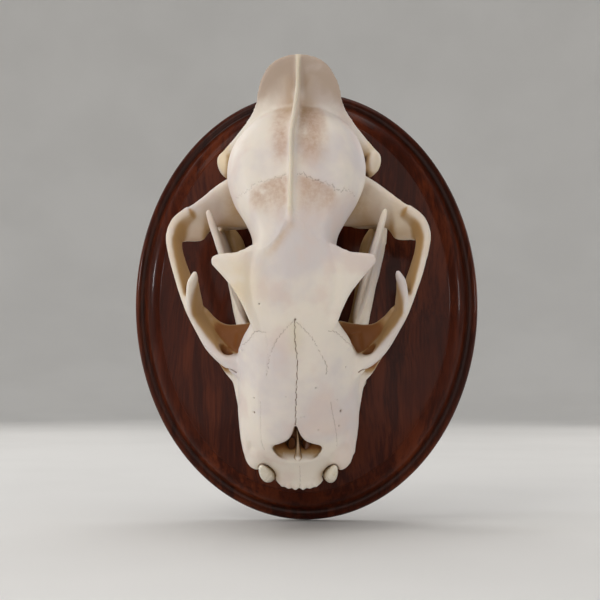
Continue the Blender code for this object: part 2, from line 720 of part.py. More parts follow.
def jaw(side, name, look, shown):
    pieces, cutters, teeth = (new_group(name + "_" + n, True) for n in ("pieces", "cuts", "teeth"))
    jaw_pieces(side, pieces)
    jaw_cutters(side, cutters)
    tooth_row(side, teeth, LOWER_CANINE, LOWER_CHEEK, LOWER_FRONT, 1)
    return bone(name, pieces, cutters, teeth, JAW_FACES, look, shown)


def plaque(look, shown):
    """The oval board, drawn in step by step along its moulded edge."""
    half_x, half_z = PLAQUE_WIDTH / 2, PLAQUE_HEIGHT / 2
    rings = []
    for inset, high in PLAQUE_PROFILE:
        ring = []
        for k in range(PLAQUE_SEGMENTS):
            angle = 2 * math.pi * k / PLAQUE_SEGMENTS
            c, s = math.cos(angle), math.sin(angle)
            out = Vector((c / half_x, 0, s / half_z)).normalized()
            ring.append((Vector((half_x * c, -high, half_z * s)) - out * inset) * MM)
        rings.append(ring)
    made = loft("plaque", rings, shown)
    made.data.materials.append(look)
    made.data.shade_smooth()
    made.data.set_sharp_from_angle(angle=math.radians(35))
    return made


def main():
    clear_scene()
    shown = new_group("leopard_skull_on_plaque")
    bone_look = new_material("bone", (0.78, 0.73, 0.64), 0.5)
    wood_look = new_material("dark_wood", (0.13, 0.03, 0.015), 0.3)
    plaque(wood_look, shown)
    cranium(bone_look, shown)
    jaw(-1, "jaw_right", bone_look, shown)
    jaw(1, "jaw_left", bone_look, shown)


main()
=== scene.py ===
"""The looks of a leopard skull on its oval mahogany wall plaque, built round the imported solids.

Sizes are in millimetres, and spot() turns them into metres in the frame of the solids: the
back of the plaque is the plane Y = 0, -Y comes out of the wall and +Z is up the wall.
A place on the skull is x (across, the animal's left positive), h (height over the plaque's
face) and z (up the wall, with the nose downwards).
"""

import json
import logging
import math
from dataclasses import dataclass, field
from enum import Enum
from typing import Any, Callable, Iterable, Sequence

import bmesh
import bpy
import numpy as np
from mathutils import Matrix, Vector, noise
from mathutils.bvhtree import BVHTree

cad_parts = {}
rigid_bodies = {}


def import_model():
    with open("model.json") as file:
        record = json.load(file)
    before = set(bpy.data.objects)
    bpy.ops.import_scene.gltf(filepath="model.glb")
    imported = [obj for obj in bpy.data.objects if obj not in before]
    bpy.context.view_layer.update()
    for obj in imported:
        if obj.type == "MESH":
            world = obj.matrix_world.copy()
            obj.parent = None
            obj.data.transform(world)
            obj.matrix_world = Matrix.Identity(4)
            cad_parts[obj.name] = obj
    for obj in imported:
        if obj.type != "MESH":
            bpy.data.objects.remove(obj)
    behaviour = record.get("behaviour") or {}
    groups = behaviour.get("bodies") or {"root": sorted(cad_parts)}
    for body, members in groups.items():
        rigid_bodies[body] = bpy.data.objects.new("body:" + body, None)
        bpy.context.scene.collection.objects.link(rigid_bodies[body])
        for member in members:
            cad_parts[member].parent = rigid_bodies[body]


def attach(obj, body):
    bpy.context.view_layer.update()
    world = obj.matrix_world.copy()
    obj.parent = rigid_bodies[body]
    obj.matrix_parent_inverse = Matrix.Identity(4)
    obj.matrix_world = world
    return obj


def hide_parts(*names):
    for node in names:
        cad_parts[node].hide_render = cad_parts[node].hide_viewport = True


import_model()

LOG = logging.getLogger("leopard_skull")
MM = 0.001
BOARD_THICK = 19.0
# Points in a slab's section, and how square it is
SLAB_SIDES = 32
SLAB_POWER = 2.8
# How far off its point a ray starts, in millimetres, and how widely the rays spread
RAY_START = 0.5
RAY_SPREAD = 0.96
ROOT = "root"

Row = tuple[float, ...]
Thing = bpy.types.Object


class Side(Enum):
    """The animal's right and left, as the sign of x."""

    RIGHT = -1
    LEFT = 1


class Jaw(Enum):
    """The two jaws, as the way in which their crowns point in height."""

    UPPER = -1
    LOWER = 1


def spot(x: float, h: float, z: float) -> Vector:
    """Gives the place in metres of a point on the skull.

    Args:
        x: Millimetres across, the animal's left positive.
        h: Millimetres over the plaque's face.
        z: Millimetres up the wall from the plaque's middle.

    Returns:
        The place in the frame of the solids.
    """
    return Vector((x, -(BOARD_THICK + h), z)) * MM


def smooth_value(four: Sequence[float], t: float) -> float:
    """Gives a Catmull-Rom value between the middle two of four.

    Args:
        four: The four values.
        t: How far from the second value to the third, from 0 to 1.

    Returns:
        The smooth value.
    """
    a, b, c, d = four
    curve = (3 * b - a - 3 * c + d) * t * t * t
    return 0.5 * (2 * b + (c - a) * t + (2 * a - 5 * b + 4 * c - d) * t * t + curve)


def along(rows: Sequence[Row], steps: int) -> list[Row]:
    """Puts smooth rows between the rows of a table.

    Args:
        rows: Rows of numbers along a form.
        steps: How many rows stand for each row given.

    Returns:
        The longer list of rows.
    """
    last = len(rows) - 1
    made = []
    for i in range(last):
        four = [rows[max(i - 1, 0)], rows[i], rows[i + 1], rows[min(i + 2, last)]]
        for k in range(steps):
            made.append(tuple(smooth_value(column, k / steps) for column in zip(*four)))
    made.append(tuple(rows[-1]))
    return made


def around(points: Sequence[Row], steps: int) -> list[Row]:
    """Makes a closed smooth loop through points.

    Args:
        points: The corners of the loop.
        steps: How many points stand for each corner.

    Returns:
        The points of the smooth loop.
    """
    count = len(points)
    made = []
    for i in range(count):
        four = [points[(i + k) % count] for k in (-1, 0, 1, 2)]
        for k in range(steps):
            made.append(tuple(smooth_value(column, k / steps) for column in zip(*four)))
    return made


def both_sides(half: Sequence[Row]) -> list[Row]:
    """Closes a half outline, whose ends lie on the middle line, with its mirror image."""
    return list(half) + [(-p[0], *p[1:]) for p in reversed(half[1:-1])]


def pick(obj: Thing) -> None:
    """Leaves one object selected and active, so that an operator acts on it alone."""
    for other in list(bpy.context.selected_objects):
        other.select_set(False)
    obj.select_set(True)
    bpy.context.view_layer.objects.active = obj


def finish_with(obj: Thing, kind: str, **settings: Any) -> None:
    """Adds a modifier to an object and applies it.

    Args:
        obj: The object that it shapes.
        kind: The modifier's type.
        **settings: Values of the modifier's own fields.
    """
    pick(obj)
    modifier = obj.modifiers.new(kind.lower(), kind)
    for name, value in settings.items():
        setattr(modifier, name, value)
    bpy.ops.object.modifier_apply(modifier=modifier.name)


def edit_faces(obj: Thing, chosen: Callable[[bpy.types.MeshPolygon], bool]) -> None:
    """Opens an object in edit mode with some of its faces selected.

    Args:
        obj: The object.
        chosen: Says of a face whether it is selected.
    """
    pick(obj)
    bpy.ops.object.mode_set(mode="EDIT")
    bpy.ops.mesh.select_mode(type="FACE")
    bpy.ops.mesh.select_all(action="DESELECT")
    bpy.ops.object.mode_set(mode="OBJECT")
    for face in obj.data.polygons:
        face.select = chosen(face)
    bpy.ops.object.mode_set(mode="EDIT")


def turn_outwards(inside: bool = False) -> None:
    """Turns the faces of the object in edit mode outwards, and leaves edit mode."""
    bpy.ops.mesh.select_all(action="SELECT")
    bpy.ops.mesh.normals_make_consistent(inside=inside)
    bpy.ops.object.mode_set(mode="OBJECT")


def loft(name: str, rings: Sequence[Sequence[Vector]]) -> Thing:
    """Bridges sections into a closed body, with a low fan on each end.

    Args:
        name: The object's name.
        rings: The sections, with the same number of points each.

    Returns:
        The closed body.
    """
    body = bmesh.new()
    loops = [[body.verts.new(place) for place in ring] for ring in rings]
    for lower, upper in zip(loops, loops[1:]):
        for i in range(len(lower)):
            j = (i + 1) % len(lower)
            body.faces.new((lower[i], lower[j], upper[j], upper[i]))
    for loop in (loops[0], loops[-1]):
        middle = body.verts.new(sum((v.co for v in loop), Vector()) / len(loop))
        for i in range(len(loop)):
            body.faces.new((loop[i], loop[(i + 1) % len(loop)], middle))
    bmesh.ops.recalc_face_normals(body, faces=body.faces)
    mesh = bpy.data.meshes.new(name)
    body.to_mesh(mesh)
    body.free()
    obj = bpy.data.objects.new(name, mesh)
    bpy.context.scene.collection.objects.link(obj)
    return obj


def oval(
    centre: Vector,
    across: Vector,
    upward: Vector,
    wide: float,
    tall: float,
    sides: int = 24,
    power: float = 2.0,
    flutes: Sequence[Row] = (),
) -> list[Vector]:
    """Makes the points of an oval.

    Args:
        centre: The middle, in metres.
        across: The direction of its width.
        upward: The direction of its height.
        wide: Its width in millimetres.
        tall: Its height in millimetres.
        sides: How many points it has.
        power: 2 for an ellipse, more for a squarer form.
        flutes: Grooves, each with its angle in degrees, its half width and its depth as a share.

    Returns:
        The points in order.
    """
    ring = []
    for k in range(sides):
        angle = 2 * math.pi * k / sides
        c, s = math.cos(angle), math.sin(angle)
        share = 1.0
        for at, half, depth in flutes:
            away = (math.degrees(angle) - at + 180) % 360 - 180
            share -= depth * math.exp(-((away / half) ** 2))
        u = math.copysign(abs(c) ** (2 / power), c) * wide / 2 * share
        v = math.copysign(abs(s) ** (2 / power), s) * tall / 2 * share
        ring.append(centre + (across * u + upward * v) * MM)
    return ring


def heading(centres: Sequence[Vector], i: int) -> Vector:
    """Gives the direction of a path at one of its points."""
    return (centres[min(i + 1, len(centres) - 1)] - centres[max(i - 1, 0)]).normalized()


def plate(rows: Sequence[Row], side: int, sides: int = 28, power: float = 2.5) -> Thing:
    """Makes a flat bar along a path.

    Args:
        rows: x, h, z, thickness, depth and lean in degrees, from end to end.
        side: The sign of x.
        sides: Points in a section.
        power: How square a section is.

    Returns:
        The closed bar.
    """
    rows = along(rows, 5)
    centres = [spot(side * row[0], row[1], row[2]) for row in rows]
    rings = []
    for i, row in enumerate(rows):
        ahead = heading(centres, i)
        out = Vector((0, -1, 0))
        upward = (out - ahead * out.dot(ahead)).normalized()
        upward = Matrix.Rotation(math.radians(side * row[5]), 3, ahead) @ upward
        rings.append(oval(centres[i], upward.cross(ahead), upward, row[3], row[4], sides, power))
    return loft("plate", rings)


def spike(
    rows: Sequence[Row],
    side: int,
    steps: int = 6,
    sides: int = 24,
    grow: float = 0.0,
    flutes: Sequence[Row] = (),
) -> Thing:
    """Makes a round body along a path.

    Args:
        rows: x, h, z, and the widths across the path and along the skull.
        side: The sign of x.
        steps: Sections for each row.
        sides: Points in a section.
        grow: Millimetres added all round.
        flutes: Grooves down its length, as oval() takes them.

    Returns:
        The closed body.
    """
    rows = along(rows, steps)
    centres = [spot(side * row[0], row[1], row[2]) for row in rows]
    rings = []
    for i, row in enumerate(rows):
        ahead = heading(centres, i)
        out = Vector((side, 0, 0))
        across = (out - ahead * out.dot(ahead)).normalized()
        wide, tall = row[3] + 2 * grow, row[4] + 2 * grow
        upward = ahead.cross(across) * side
        rings.append(oval(centres[i], across, upward, wide, tall, sides, 2.0, flutes))
    return loft("spike", rings)


def slab(rows: Sequence[Row], side: int) -> Thing:
    """Makes a slab that lies across the skull.

    Args:
        rows: x, z and h of the front edge, z and h of the rear edge, and thickness.
        side: The sign of x.

    Returns:
        The closed slab.
    """
    rings = []
    for x, z0, h0, z1, h1, thick in along(rows, 5):
        front, rear = spot(side * x, h0, z0), spot(side * x, h1, z1)
        length = (rear - front).length / MM
        lengthwise = (rear - front).normalized()
        upward = Vector((1, 0, 0)).cross(lengthwise)
        centre = (front + rear) / 2
        rings.append(oval(centre, lengthwise, upward, length, thick, SLAB_SIDES, SLAB_POWER))
    return loft("slab", rings)


def blob(place: Row, radii: Row, side: int = 1, lean: Row = (0, 0, 0)) -> Thing:
    """Adds a ball, drawn out to an ellipsoid.

    Args:
        place: x, h and z of its middle.
        radii: Its radii across, in height and up the wall.
        side: The sign of x.
        lean: Its turn about X, Y and Z in degrees, on the animal's left.

    Returns:
        The ellipsoid, with its place in its mesh.
    """
    turn = Matrix.Identity(4)
    for angle, axis in zip(lean, "XYZ"):
        way = 1 if axis == "X" else side
        turn = Matrix.Rotation(math.radians(way * angle), 4, axis) @ turn
    bpy.ops.mesh.primitive_uv_sphere_add(
        segments=40,
        ring_count=20,
        radius=MM,
        location=spot(side * place[0], place[1], place[2]),
        rotation=turn.to_euler(),
        scale=radii,
    )
    ball = bpy.context.object
    settle(ball)
    return ball


def settle(obj: Thing) -> None:
    """Moves an object's place, turn and scale into its mesh."""
    pick(obj)
    bpy.ops.object.transform_apply(location=True, rotation=True, scale=True)


def boolean(obj: Thing, others: Iterable[Thing], operation: str) -> None:
    """Joins bodies to an object or cuts them from it, and removes them.

    Args:
        obj: The object that stays.
        others: Closed bodies.
        operation: UNION or DIFFERENCE.
    """
    group = bpy.data.collections.new("tools")
    bpy.context.scene.collection.children.link(group)
    for other in others:
        for holder in list(other.users_collection):
            holder.objects.unlink(other)
        group.objects.link(other)
    finish_with(
        obj, "BOOLEAN", operation=operation, solver="MANIFOLD", operand_type="COLLECTION",
        collection=group,
    )
    for other in list(group.objects):
        bpy.data.objects.remove(other)
    bpy.data.collections.remove(group)


def keep_largest(obj: Thing) -> None:
    """Leaves only the biggest closed surface of an object."""
    body = bmesh.new()
    body.from_mesh(obj.data)
    left, shells = set(body.verts), []
    while left:
        stack, shell = [left.pop()], []
        while stack:
            vert = stack.pop()
            shell.append(vert)
            near = [edge.other_vert(vert) for edge in vert.link_edges]
            stack += [other for other in near if other in left]
            left.difference_update(near)
        shells.append(shell)
    shells.sort(key=len)
    for shell in shells[:-1]:
        bmesh.ops.delete(body, geom=shell, context="VERTS")
    body.to_mesh(obj.data)
    body.free()


def places_of(mesh: bpy.types.Mesh) -> np.ndarray:
    """Reads the places of a mesh's points, in metres, one row each."""
    flat = np.empty(len(mesh.vertices) * 3)
    mesh.vertices.foreach_get("co", flat)
    return flat.reshape(-1, 3)


def normals_of(mesh: bpy.types.Mesh) -> np.ndarray:
    """Reads the normals of a mesh's points, one row each."""
    flat = np.empty(len(mesh.vertices) * 3)
    mesh.vertex_normals.foreach_get("vector", flat)
    return flat.reshape(-1, 3)


def skull_places(mesh: bpy.types.Mesh) -> tuple[np.ndarray, np.ndarray, np.ndarray]:
    """Reads x, h and z of a mesh's points in millimetres."""
    places = places_of(mesh) / MM
    return places[:, 0], -places[:, 1] - BOARD_THICK, places[:, 2]


def write_places(mesh: bpy.types.Mesh, places: np.ndarray) -> None:
    """Moves a mesh's points to new places."""
    mesh.vertices.foreach_set("co", places.ravel())
    mesh.update()


def write_mask(mesh: bpy.types.Mesh, name: str, values: np.ndarray) -> None:
    """Keeps a mask from 0 to 1 on a mesh's points for its material to read."""
    mask = mesh.attributes.get(name) or mesh.attributes.new(name, "FLOAT", "POINT")
    mask.data.foreach_set("value", np.clip(values, 0, 1).astype(np.float32))


def even_out(mesh: bpy.types.Mesh, values: np.ndarray, rounds: int) -> np.ndarray:
    """Averages a value with its neighbours along the mesh's edges.

    Args:
        mesh: The mesh whose edges are followed.
        values: One value for each point.
        rounds: How many times the values are averaged.

    Returns:
        The smoother values.
    """
    ends = np.empty(len(mesh.edges) * 2, dtype=np.int32)
    mesh.edges.foreach_get("vertices", ends)
    one, other = ends[0::2], ends[1::2]
    count = len(values)
    share = 1 + np.bincount(one, minlength=count) + np.bincount(other, minlength=count)
    for _ in range(rounds):
        near = np.bincount(one, values[other], count) + np.bincount(other, values[one], count)
        values = (values + near) / share
    return values


def surface_of(objects: Iterable[Thing]) -> BVHTree:
    """Makes one searchable surface of several objects that lie at the origin."""
    places, faces = [], []
    for obj in objects:
        start = len(places)
        places += [vert.co.copy() for vert in obj.data.vertices]
        faces += [tuple(start + i for i in face.vertices) for face in obj.data.polygons]
    return BVHTree.FromPolygons(places, faces)


def ramp(values: np.ndarray, low: float, high: float) -> np.ndarray:
    """Rises smoothly from 0 at low to 1 at high, or falls where high is the lower."""
    t = np.clip((values - low) / (high - low), 0, 1)
    return t * t * (3 - 2 * t)


def paint_recess_shade(obj: Thing, surface: BVHTree, rays: int, reach: float) -> None:
    """Finds how closed in each point of a piece is, and keeps it as the mask "recess", by which its finish
    paints shade into its hollows.

    Args:
        obj: The piece.
        surface: What can stand round a point.
        rays: How many directions are tried.
        reach: How far off a surface still counts, in millimetres.
    """
    golden = math.pi * (3 - math.sqrt(5))
    ball = []
    for k in range(rays):
        rise = 1 - 2 * (k + 0.5) / rays
        ring = math.sqrt(1 - rise * rise)
        ball.append(Vector((ring * math.cos(golden * k), ring * math.sin(golden * k), rise)))
    mesh = obj.data
    closed = np.zeros(len(mesh.vertices))
    far = reach * MM
    cast = surface.ray_cast
    for i, vert in enumerate(mesh.vertices):
        normal = vert.normal
        start = vert.co + normal * (RAY_START * MM)
        total = 0.0
        for way in ball:
            found = cast(start, normal + way * RAY_SPREAD, far)[3]
            if found is not None:
                total += 1 - found / far
        closed[i] = total / rays
    write_mask(mesh, "recess_shade", even_out(mesh, closed, 4))


@dataclass
class Assembly:
    """A sub-assembly of the mount: the solid that it stands for, and the pieces it has made."""

    node: str
    slot: str = "bone"
    rays: int = 14
    reach: float = 55.0
    made: list[Thing] = field(default_factory=list)

    def shade(self, surface: BVHTree) -> None:
        """Masks how closed in each of its pieces is, against a surface round them, for the painted shade of
        their hollows.
        """
        for piece in self.made:
            paint_recess_shade(piece, surface, self.rays, self.reach)

    def dress(self, finish: bpy.types.Material) -> None:
        """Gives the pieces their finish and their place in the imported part.

        Args:
            finish: Their material.
        """
        for piece in self.made:
            piece.data.materials.clear()
            piece.data.materials.append(finish)
            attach(piece, ROOT)
            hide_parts(self.node)


@dataclass(frozen=True)
class Seam:
    """A line where two bones meet, a low ridge, or a slit painted dark as its shadow.

    Fields: path of x, h and z near the surface; half width, depth (negative for a ridge),
    how far it wanders to each side and over what length, and how dark it is.
    """

    path: tuple[Row, ...]
    width: float = 0.28
    depth: float = 0.3
    wander: float = 0.25
    pitch: float = 3.0
    tone: float = 0.7

    def points(self, surface: BVHTree) -> np.ndarray:
        """Lays the line on a surface.

        Args:
            surface: The bone's surface.

        Returns:
            Points in metres, about 0.3 mm apart.
        """
        made = []
        length = 0.0
        rows = along(self.path, 24)
        for i, row in enumerate(rows):
            ahead = heading([Vector(r) for r in rows[max(i - 1, 0):i + 2]], 1 if i else 0)
            if i:
                length += (Vector(row) - Vector(rows[i - 1])).length
            turn = 2 * math.pi * length / self.pitch
            drift = math.sin(turn) + 0.6 * math.sin(2.3 * turn + 1) + 0.4 * math.sin(5.1 * turn + 2)
            aside = Vector((ahead.z, 0, -ahead.x)).normalized() * drift * self.wander
            near = surface.find_nearest(spot(*(Vector(row) + aside)))[0]
            made.append(near)
        return np.array(made)


@dataclass(frozen=True)
class Pit:
    """A small hole for a nerve or a vessel: x, h, z, radius, depth, and how dark its painted shade is."""

    place: Row
    radius: float
    depth: float = 0.8
    tone: float = 0.9


@dataclass
class Bone(Assembly):
    """A bone that is joined from simple bodies, cut, and given one even skin."""

    name: str = "bone"
    grid: float = 0.8
    soften: int = 9
    triangles: int = 136000
    seams: tuple[Seam, ...] = ()
    pits: tuple[Pit, ...] = ()

    def pieces(self) -> list[Thing]:
        """Gives the bodies that make up the bone."""
        return []

    def cuts(self) -> list[Thing]:
        """Gives the bodies that hollow it."""
        return []

    def bend(self, mesh: bpy.types.Mesh) -> None:
        """Gives the bone what isn't even on its two sides."""

    def masks(self, mesh: bpy.types.Mesh) -> None:
        """Writes the bone's own masks for its finish."""

    def build(self) -> None:
        """Makes the bone, still without its finish."""
        first, *others = self.pieces()
        boolean(first, others, "UNION")
        boolean(first, self.cuts(), "DIFFERENCE")
        first.name = self.name
        finish_with(first, "REMESH", mode="VOXEL", voxel_size=self.grid * MM)
        finish_with(first, "SMOOTH", factor=0.5, iterations=self.soften)
        keep_largest(first)
        share = self.triangles / (2 * len(first.data.polygons))
        if share < 1:
            finish_with(first, "DECIMATE", ratio=share)
        self.bend(first.data)
        self.carve(first)
        first.data.shade_smooth()
        self.made.append(first)

    def carve(self, obj: Thing) -> None:
        """Refines the mesh along its seams and pits, presses them in and masks them.

        Args:
            obj: The bone.
        """
        surface = surface_of([obj])
        lines = [seam.points(surface) for seam in self.seams]
        holes = [surface.find_nearest(spot(*pit.place))[0] for pit in self.pits]
        for reach in (1.5, 0.9):
            self.refine(obj, lines + [np.array([hole]) for hole in holes], reach)
        mesh = obj.data
        places, normals = places_of(mesh), normals_of(mesh)
        dark = np.zeros(len(places))
        sunk = np.array([self.unevenness(Vector(place)) for place in places])
        for seam, line in zip(self.seams, lines):
            share, near = nearness(places, line, seam.width)
            sunk[near] += seam.depth * share
            dark[near] = np.maximum(dark[near], seam.tone * share)
        # Pits are pressed in and painted dark as shade in the holes
        for pit, hole in zip(self.pits, holes):
            share, near = nearness(places, np.array([hole]), pit.radius)
            sunk[near] += pit.depth * share
            dark[near] = np.maximum(dark[near], pit.tone * share)
        write_places(mesh, places - normals * (sunk * MM)[:, None])
        write_mask(mesh, "seam", dark)
        self.masks(mesh)

    def unevenness(self, place: Vector) -> float:
        """Gives how far bone sinks at a place, in millimetres, in soft swells and fine dents."""
        return 0.2 * noise.noise(place * 105) + 0.08 * noise.noise(place * 310)

    def refine(self, obj: Thing, lines: Sequence[np.ndarray], reach: float) -> None:
        """Halves the faces near some lines.

        Args:
            obj: The bone.
            lines: Points along each line, in metres.
            reach: How near a face lies, in millimetres.
        """
        places = places_of(obj.data)
        close = np.zeros(len(places), dtype=bool)
        for line in lines:
            share, near = nearness(places, line, reach)
            close[near] |= share > math.exp(-1)
        edit_faces(obj, lambda face: any(close[i] for i in face.vertices))
        bpy.ops.mesh.subdivide(number_cuts=1)
        bpy.ops.object.mode_set(mode="OBJECT")


def nearness(
    places: np.ndarray, line: np.ndarray, width: float
) -> tuple[np.ndarray, np.ndarray]:
    """Finds the points near a line and how near they are.

    Args:
        places: Points in metres.
        line: Points along the line.
        width: The distance in millimetres at which the share has fallen to 1/e.

    Returns:
        The shares of the near points, 1 on the line, and the near points' numbers.
    """
    room = 3 * width * MM
    inside = np.all((places > line.min(0) - room) & (places < line.max(0) + room), axis=1)
    near = np.nonzero(inside)[0]
    least = np.full(len(near), np.inf)
    for point in line:
        least = np.minimum(least, ((places[near] - point) ** 2).sum(1))
    return np.exp(-least / (width * MM) ** 2), near


@dataclass
class Cranium(Bone):
    """The skull without its teeth. Tables hold rows as the making functions take them."""

    name: str = "cranium_bone"
    core: tuple[Row, ...] = (
        (101, 78, 8, 75, 12, 66, 8, 56, 54),
        (92, 86.5, 16, 82, 23, 66, 18, 48, 45),
        (82, 93.5, 23, 87, 31.5, 68, 25, 48, 43),
        (70, 98, 27, 90.5, 36, 70, 29, 50, 43),
        (58, 101, 27, 93.5, 36, 72.5, 28, 51, 44),
        (46, 103, 24, 96, 32, 76, 21, 54, 45),
        (36, 104.5, 20, 98, 26, 79, 15, 55, 46),
        (27, 105.4, 17, 99.5, 21.8, 82, 12.5, 55, 46),
        (16, 105.2, 20, 100.5, 20.5, 84, 12, 55, 46.5),
        (6, 104.2, 22, 99, 18, 80, 12.5, 53, 46.5),
        (-5, 102, 21, 97, 18, 77, 14.5, 50, 46),
        (-15, 98.8, 20.2, 93.5, 21.8, 80, 18, 48, 46),
        (-23, 95.8, 21.6, 88.5, 27.2, 74.5, 22, 46, 46.5),
        (-30, 93, 22, 85, 30.6, 69, 26, 45.5, 46.8),
        (-38, 90, 21.6, 82.4, 31.2, 65, 28, 45, 47),
        (-50, 85.5, 21.5, 78, 31.3, 60, 28.4, 44, 47),
        (-60, 81.2, 21.8, 73, 31.8, 57, 28, 43.5, 47),
        (-70, 76.2, 21.5, 68.5, 31.2, 55, 27.5, 43, 46.5),
        (-78, 71, 20.5, 64, 29.8, 53.5, 27, 42.5, 46),
        (-85, 63, 18.5, 58.5, 27.8, 51.5, 26, 42, 45.5),
        (-90, 55.5, 15, 53.5, 24.5, 49, 23, 41.8, 44.5),
        (-94.5, 50.8, 10.5, 49.8, 15.2, 46, 15, 41.6, 43.5),
        (-98.6, 48.2, 9, 47.4, 12.6, 44.4, 12, 41.2, 42),
        (-101.6, 46.4, 7, 45.8, 10.2, 43.8, 9.8, 41.4, 42),
        (-103, 45, 3.6, 44.6, 6, 43.4, 5.6, 42, 42.2),
    )
    nape_rim: tuple[Row, ...] = (
        (0, 94, 120), (8, 93, 119), (14.4, 90.5, 115.6), (19, 86.5, 110), (21.4, 82, 104),
        (22.4, 77, 99.2), (25.6, 70, 94.4), (30.4, 64, 89), (37, 56.8, 82.6), (43.4, 50.5, 76),
        (41, 43, 76), (31, 38.5, 82), (17, 39.5, 90), (0, 43.5, 93),
    )
    nape_thick: float = 2.2
    nape_hub: Row = (0, 60, 97)
    nape_heart: Row = (0, 66, 62)
    # z, the heights of the keel's edge and foot, and how far it strays to the side
    crest_rows: tuple[Row, ...] = (
        (119.6, 95.2, 92, 0.2), (113, 97.4, 86, 0.1), (104, 99.8, 78, 0.1), (92, 102.4, 76, -0.3),
        (78, 104.8, 76, -0.8), (62, 106.5, 80, -0.6), (48, 107.15, 86, -0.9), (38, 106.75, 92, -0.9),
        (31, 105.6, 96, -0.5),
    )
    crest_width: float = 2.1
    arch: tuple[Row, ...] = (
        (24, 61, -42, 16, 17, 0), (31, 60.4, -37.6, 11, 18, 2), (38, 59.2, -33.2, 8.6, 19.6, 6),
        (44.2, 57.6, -27, 7.6, 21.6, 10), (49.6, 56.4, -18.2, 6.2, 22, 14),
        (55, 56.2, -8, 5.0, 21, 17), (59.4, 57, 3, 5.0, 18, 19), (63.2, 57.6, 14, 5.2, 14.5, 20),
        (66, 57.6, 24, 5.8, 12.5, 20), (66.6, 57.4, 31.5, 6.4, 12.5, 22),
        (63.6, 57, 38.5, 6.6, 13.5, 26), (57, 56, 43.5, 6.6, 14, 30),
    )
    spur: tuple[Row, ...] = (
        (54.2, 58, -9, 4.2, 18, 16), (55.2, 64, -1, 4.4, 16, 16), (54.8, 70, 5.5, 4.0, 10, 16),
        (53.4, 73.4, 8.8, 3.4, 5.5, 16), (52.6, 75.4, 10.8, 2.4, 2.4, 16),
    )
    shelf: tuple[Row, ...] = (
        (22, 38, 51, 69, 64, 9), (30, 37.5, 48, 66, 62, 8), (38, 38.2, 46.5, 62, 61, 7),
        (43.5, 38.6, 46.5, 58.5, 60.5, 6.6), (48.6, 36, 46.5, 54.6, 60, 6.4),
        (52, 31.4, 46.5, 52.0, 59.6, 6), (56, 30.4, 47, 49.0, 59.6, 5.8),
        (60, 30.2, 48, 46, 60, 5.6), (65, 29.5, 52, 40.5, 61, 5),
    )
    eye_floor: tuple[Row, ...] = (
        (21, -50, 50.5, -13, 48, 9), (29, -50.5, 50.5, -14.6, 48, 9),
        (35, -46.5, 50.5, -15.2, 48.5, 8), (40.5, -40, 50.8, -14.8, 49, 7),
        (45.6, -31.5, 51, -11.2, 50, 5.8), (50, -22, 51.5, -6, 51.5, 5),
    )
    brow: tuple[Row, ...] = (
        (2, -26, 89.4, 24, 99.4, 10), (12, -24, 89, 23.4, 98.2, 9.4),
        (20, -20, 91.2, 22.6, 98.6, 9), (24.4, -10.6, 94.2, 20.2, 98.2, 8.6),
        (28.6, -2.2, 95.2, 18.8, 97.6, 7.6), (34, 5, 95.3, 18.4, 96.7, 6.2),
        (38.4, 10, 95.4, 18.0, 95.8, 5.0), (41.4, 13, 95.2, 16.6, 95.4, 3.4),
    )
    gum: tuple[Row, ...] = (
        (25.5, 47, -84, 9, 10, 0), (27.6, 47.5, -66, 8.4, 10, 0), (30, 48, -50, 9, 11, 0),
        (32.4, 49, -36, 10, 12, 0), (30, 49.5, -20, 8, 10, 0),
    )
    throat_wing: tuple[Row, ...] = (
        (13, 49, -12, 3.6, 12, 0), (11.5, 45, 2, 3.0, 16, 0), (10.5, 43, 16, 3.0, 16, 0),
        (10.6, 40, 27, 3.0, 12, 0),
    )
    base: tuple[Row, Row] = ((0, 49, 56), (13, 6, 40))
    # Middle, radii and lean of the round forms of the base and the muzzle
    swellings: tuple[tuple[Row, Row, Row], ...] = (
        ((38.5, 40.5, 53.2), (12.5, 9, 3.6), (-10, 0, 0)),
        ((38.8, 50, 71), (5.2, 9, 8), (0, 24, 0)),
        ((28, 40, 81), (4, 9.5, 3.6), (0, 0, 0)),
        ((18.5, 41, 61), (10.5, 10.5, 15.5), (0, 12, 0)),
        ((12.5, 50, 95.5), (7.2, 9.5, 6), (0, 0, 0)),
        ((21.4, 50, -83), (7.8, 9.5, 10.4), (18, 0, 0)),
        ((26.4, 52, -66), (5, 10, 22), (0, 0, 0)),
        ((2.1, 44.8, -101.9), (1.7, 2.3, 2.5), (0, 0, 0)),
        ((5.6, 45.2, -101.4), (1.7, 2.3, 2.5), (0, 0, 0)),
        ((8.9, 44.9, -100.2), (1.8, 2.3, 2.6), (0, 0, 0)),
        ((27.4, 78.2, -28.2), (1.3, 1.7, 1.2), (0, 0, 0)),
        ((29.2, 73.6, -29.8), (1.2, 1.5, 1.1), (0, 0, 0)),
    )
    nose_edge: tuple[Row, ...] = (
        (0, -65.5), (0.9, -69.5), (2.4, -73), (5, -75.8), (9, -77.4), (12.9, -78.6),
        (12.2, -81.2), (9.5, -84.2), (5.5, -86.4), (0, -87.4),
    )
    nose_floor: float = 50.5
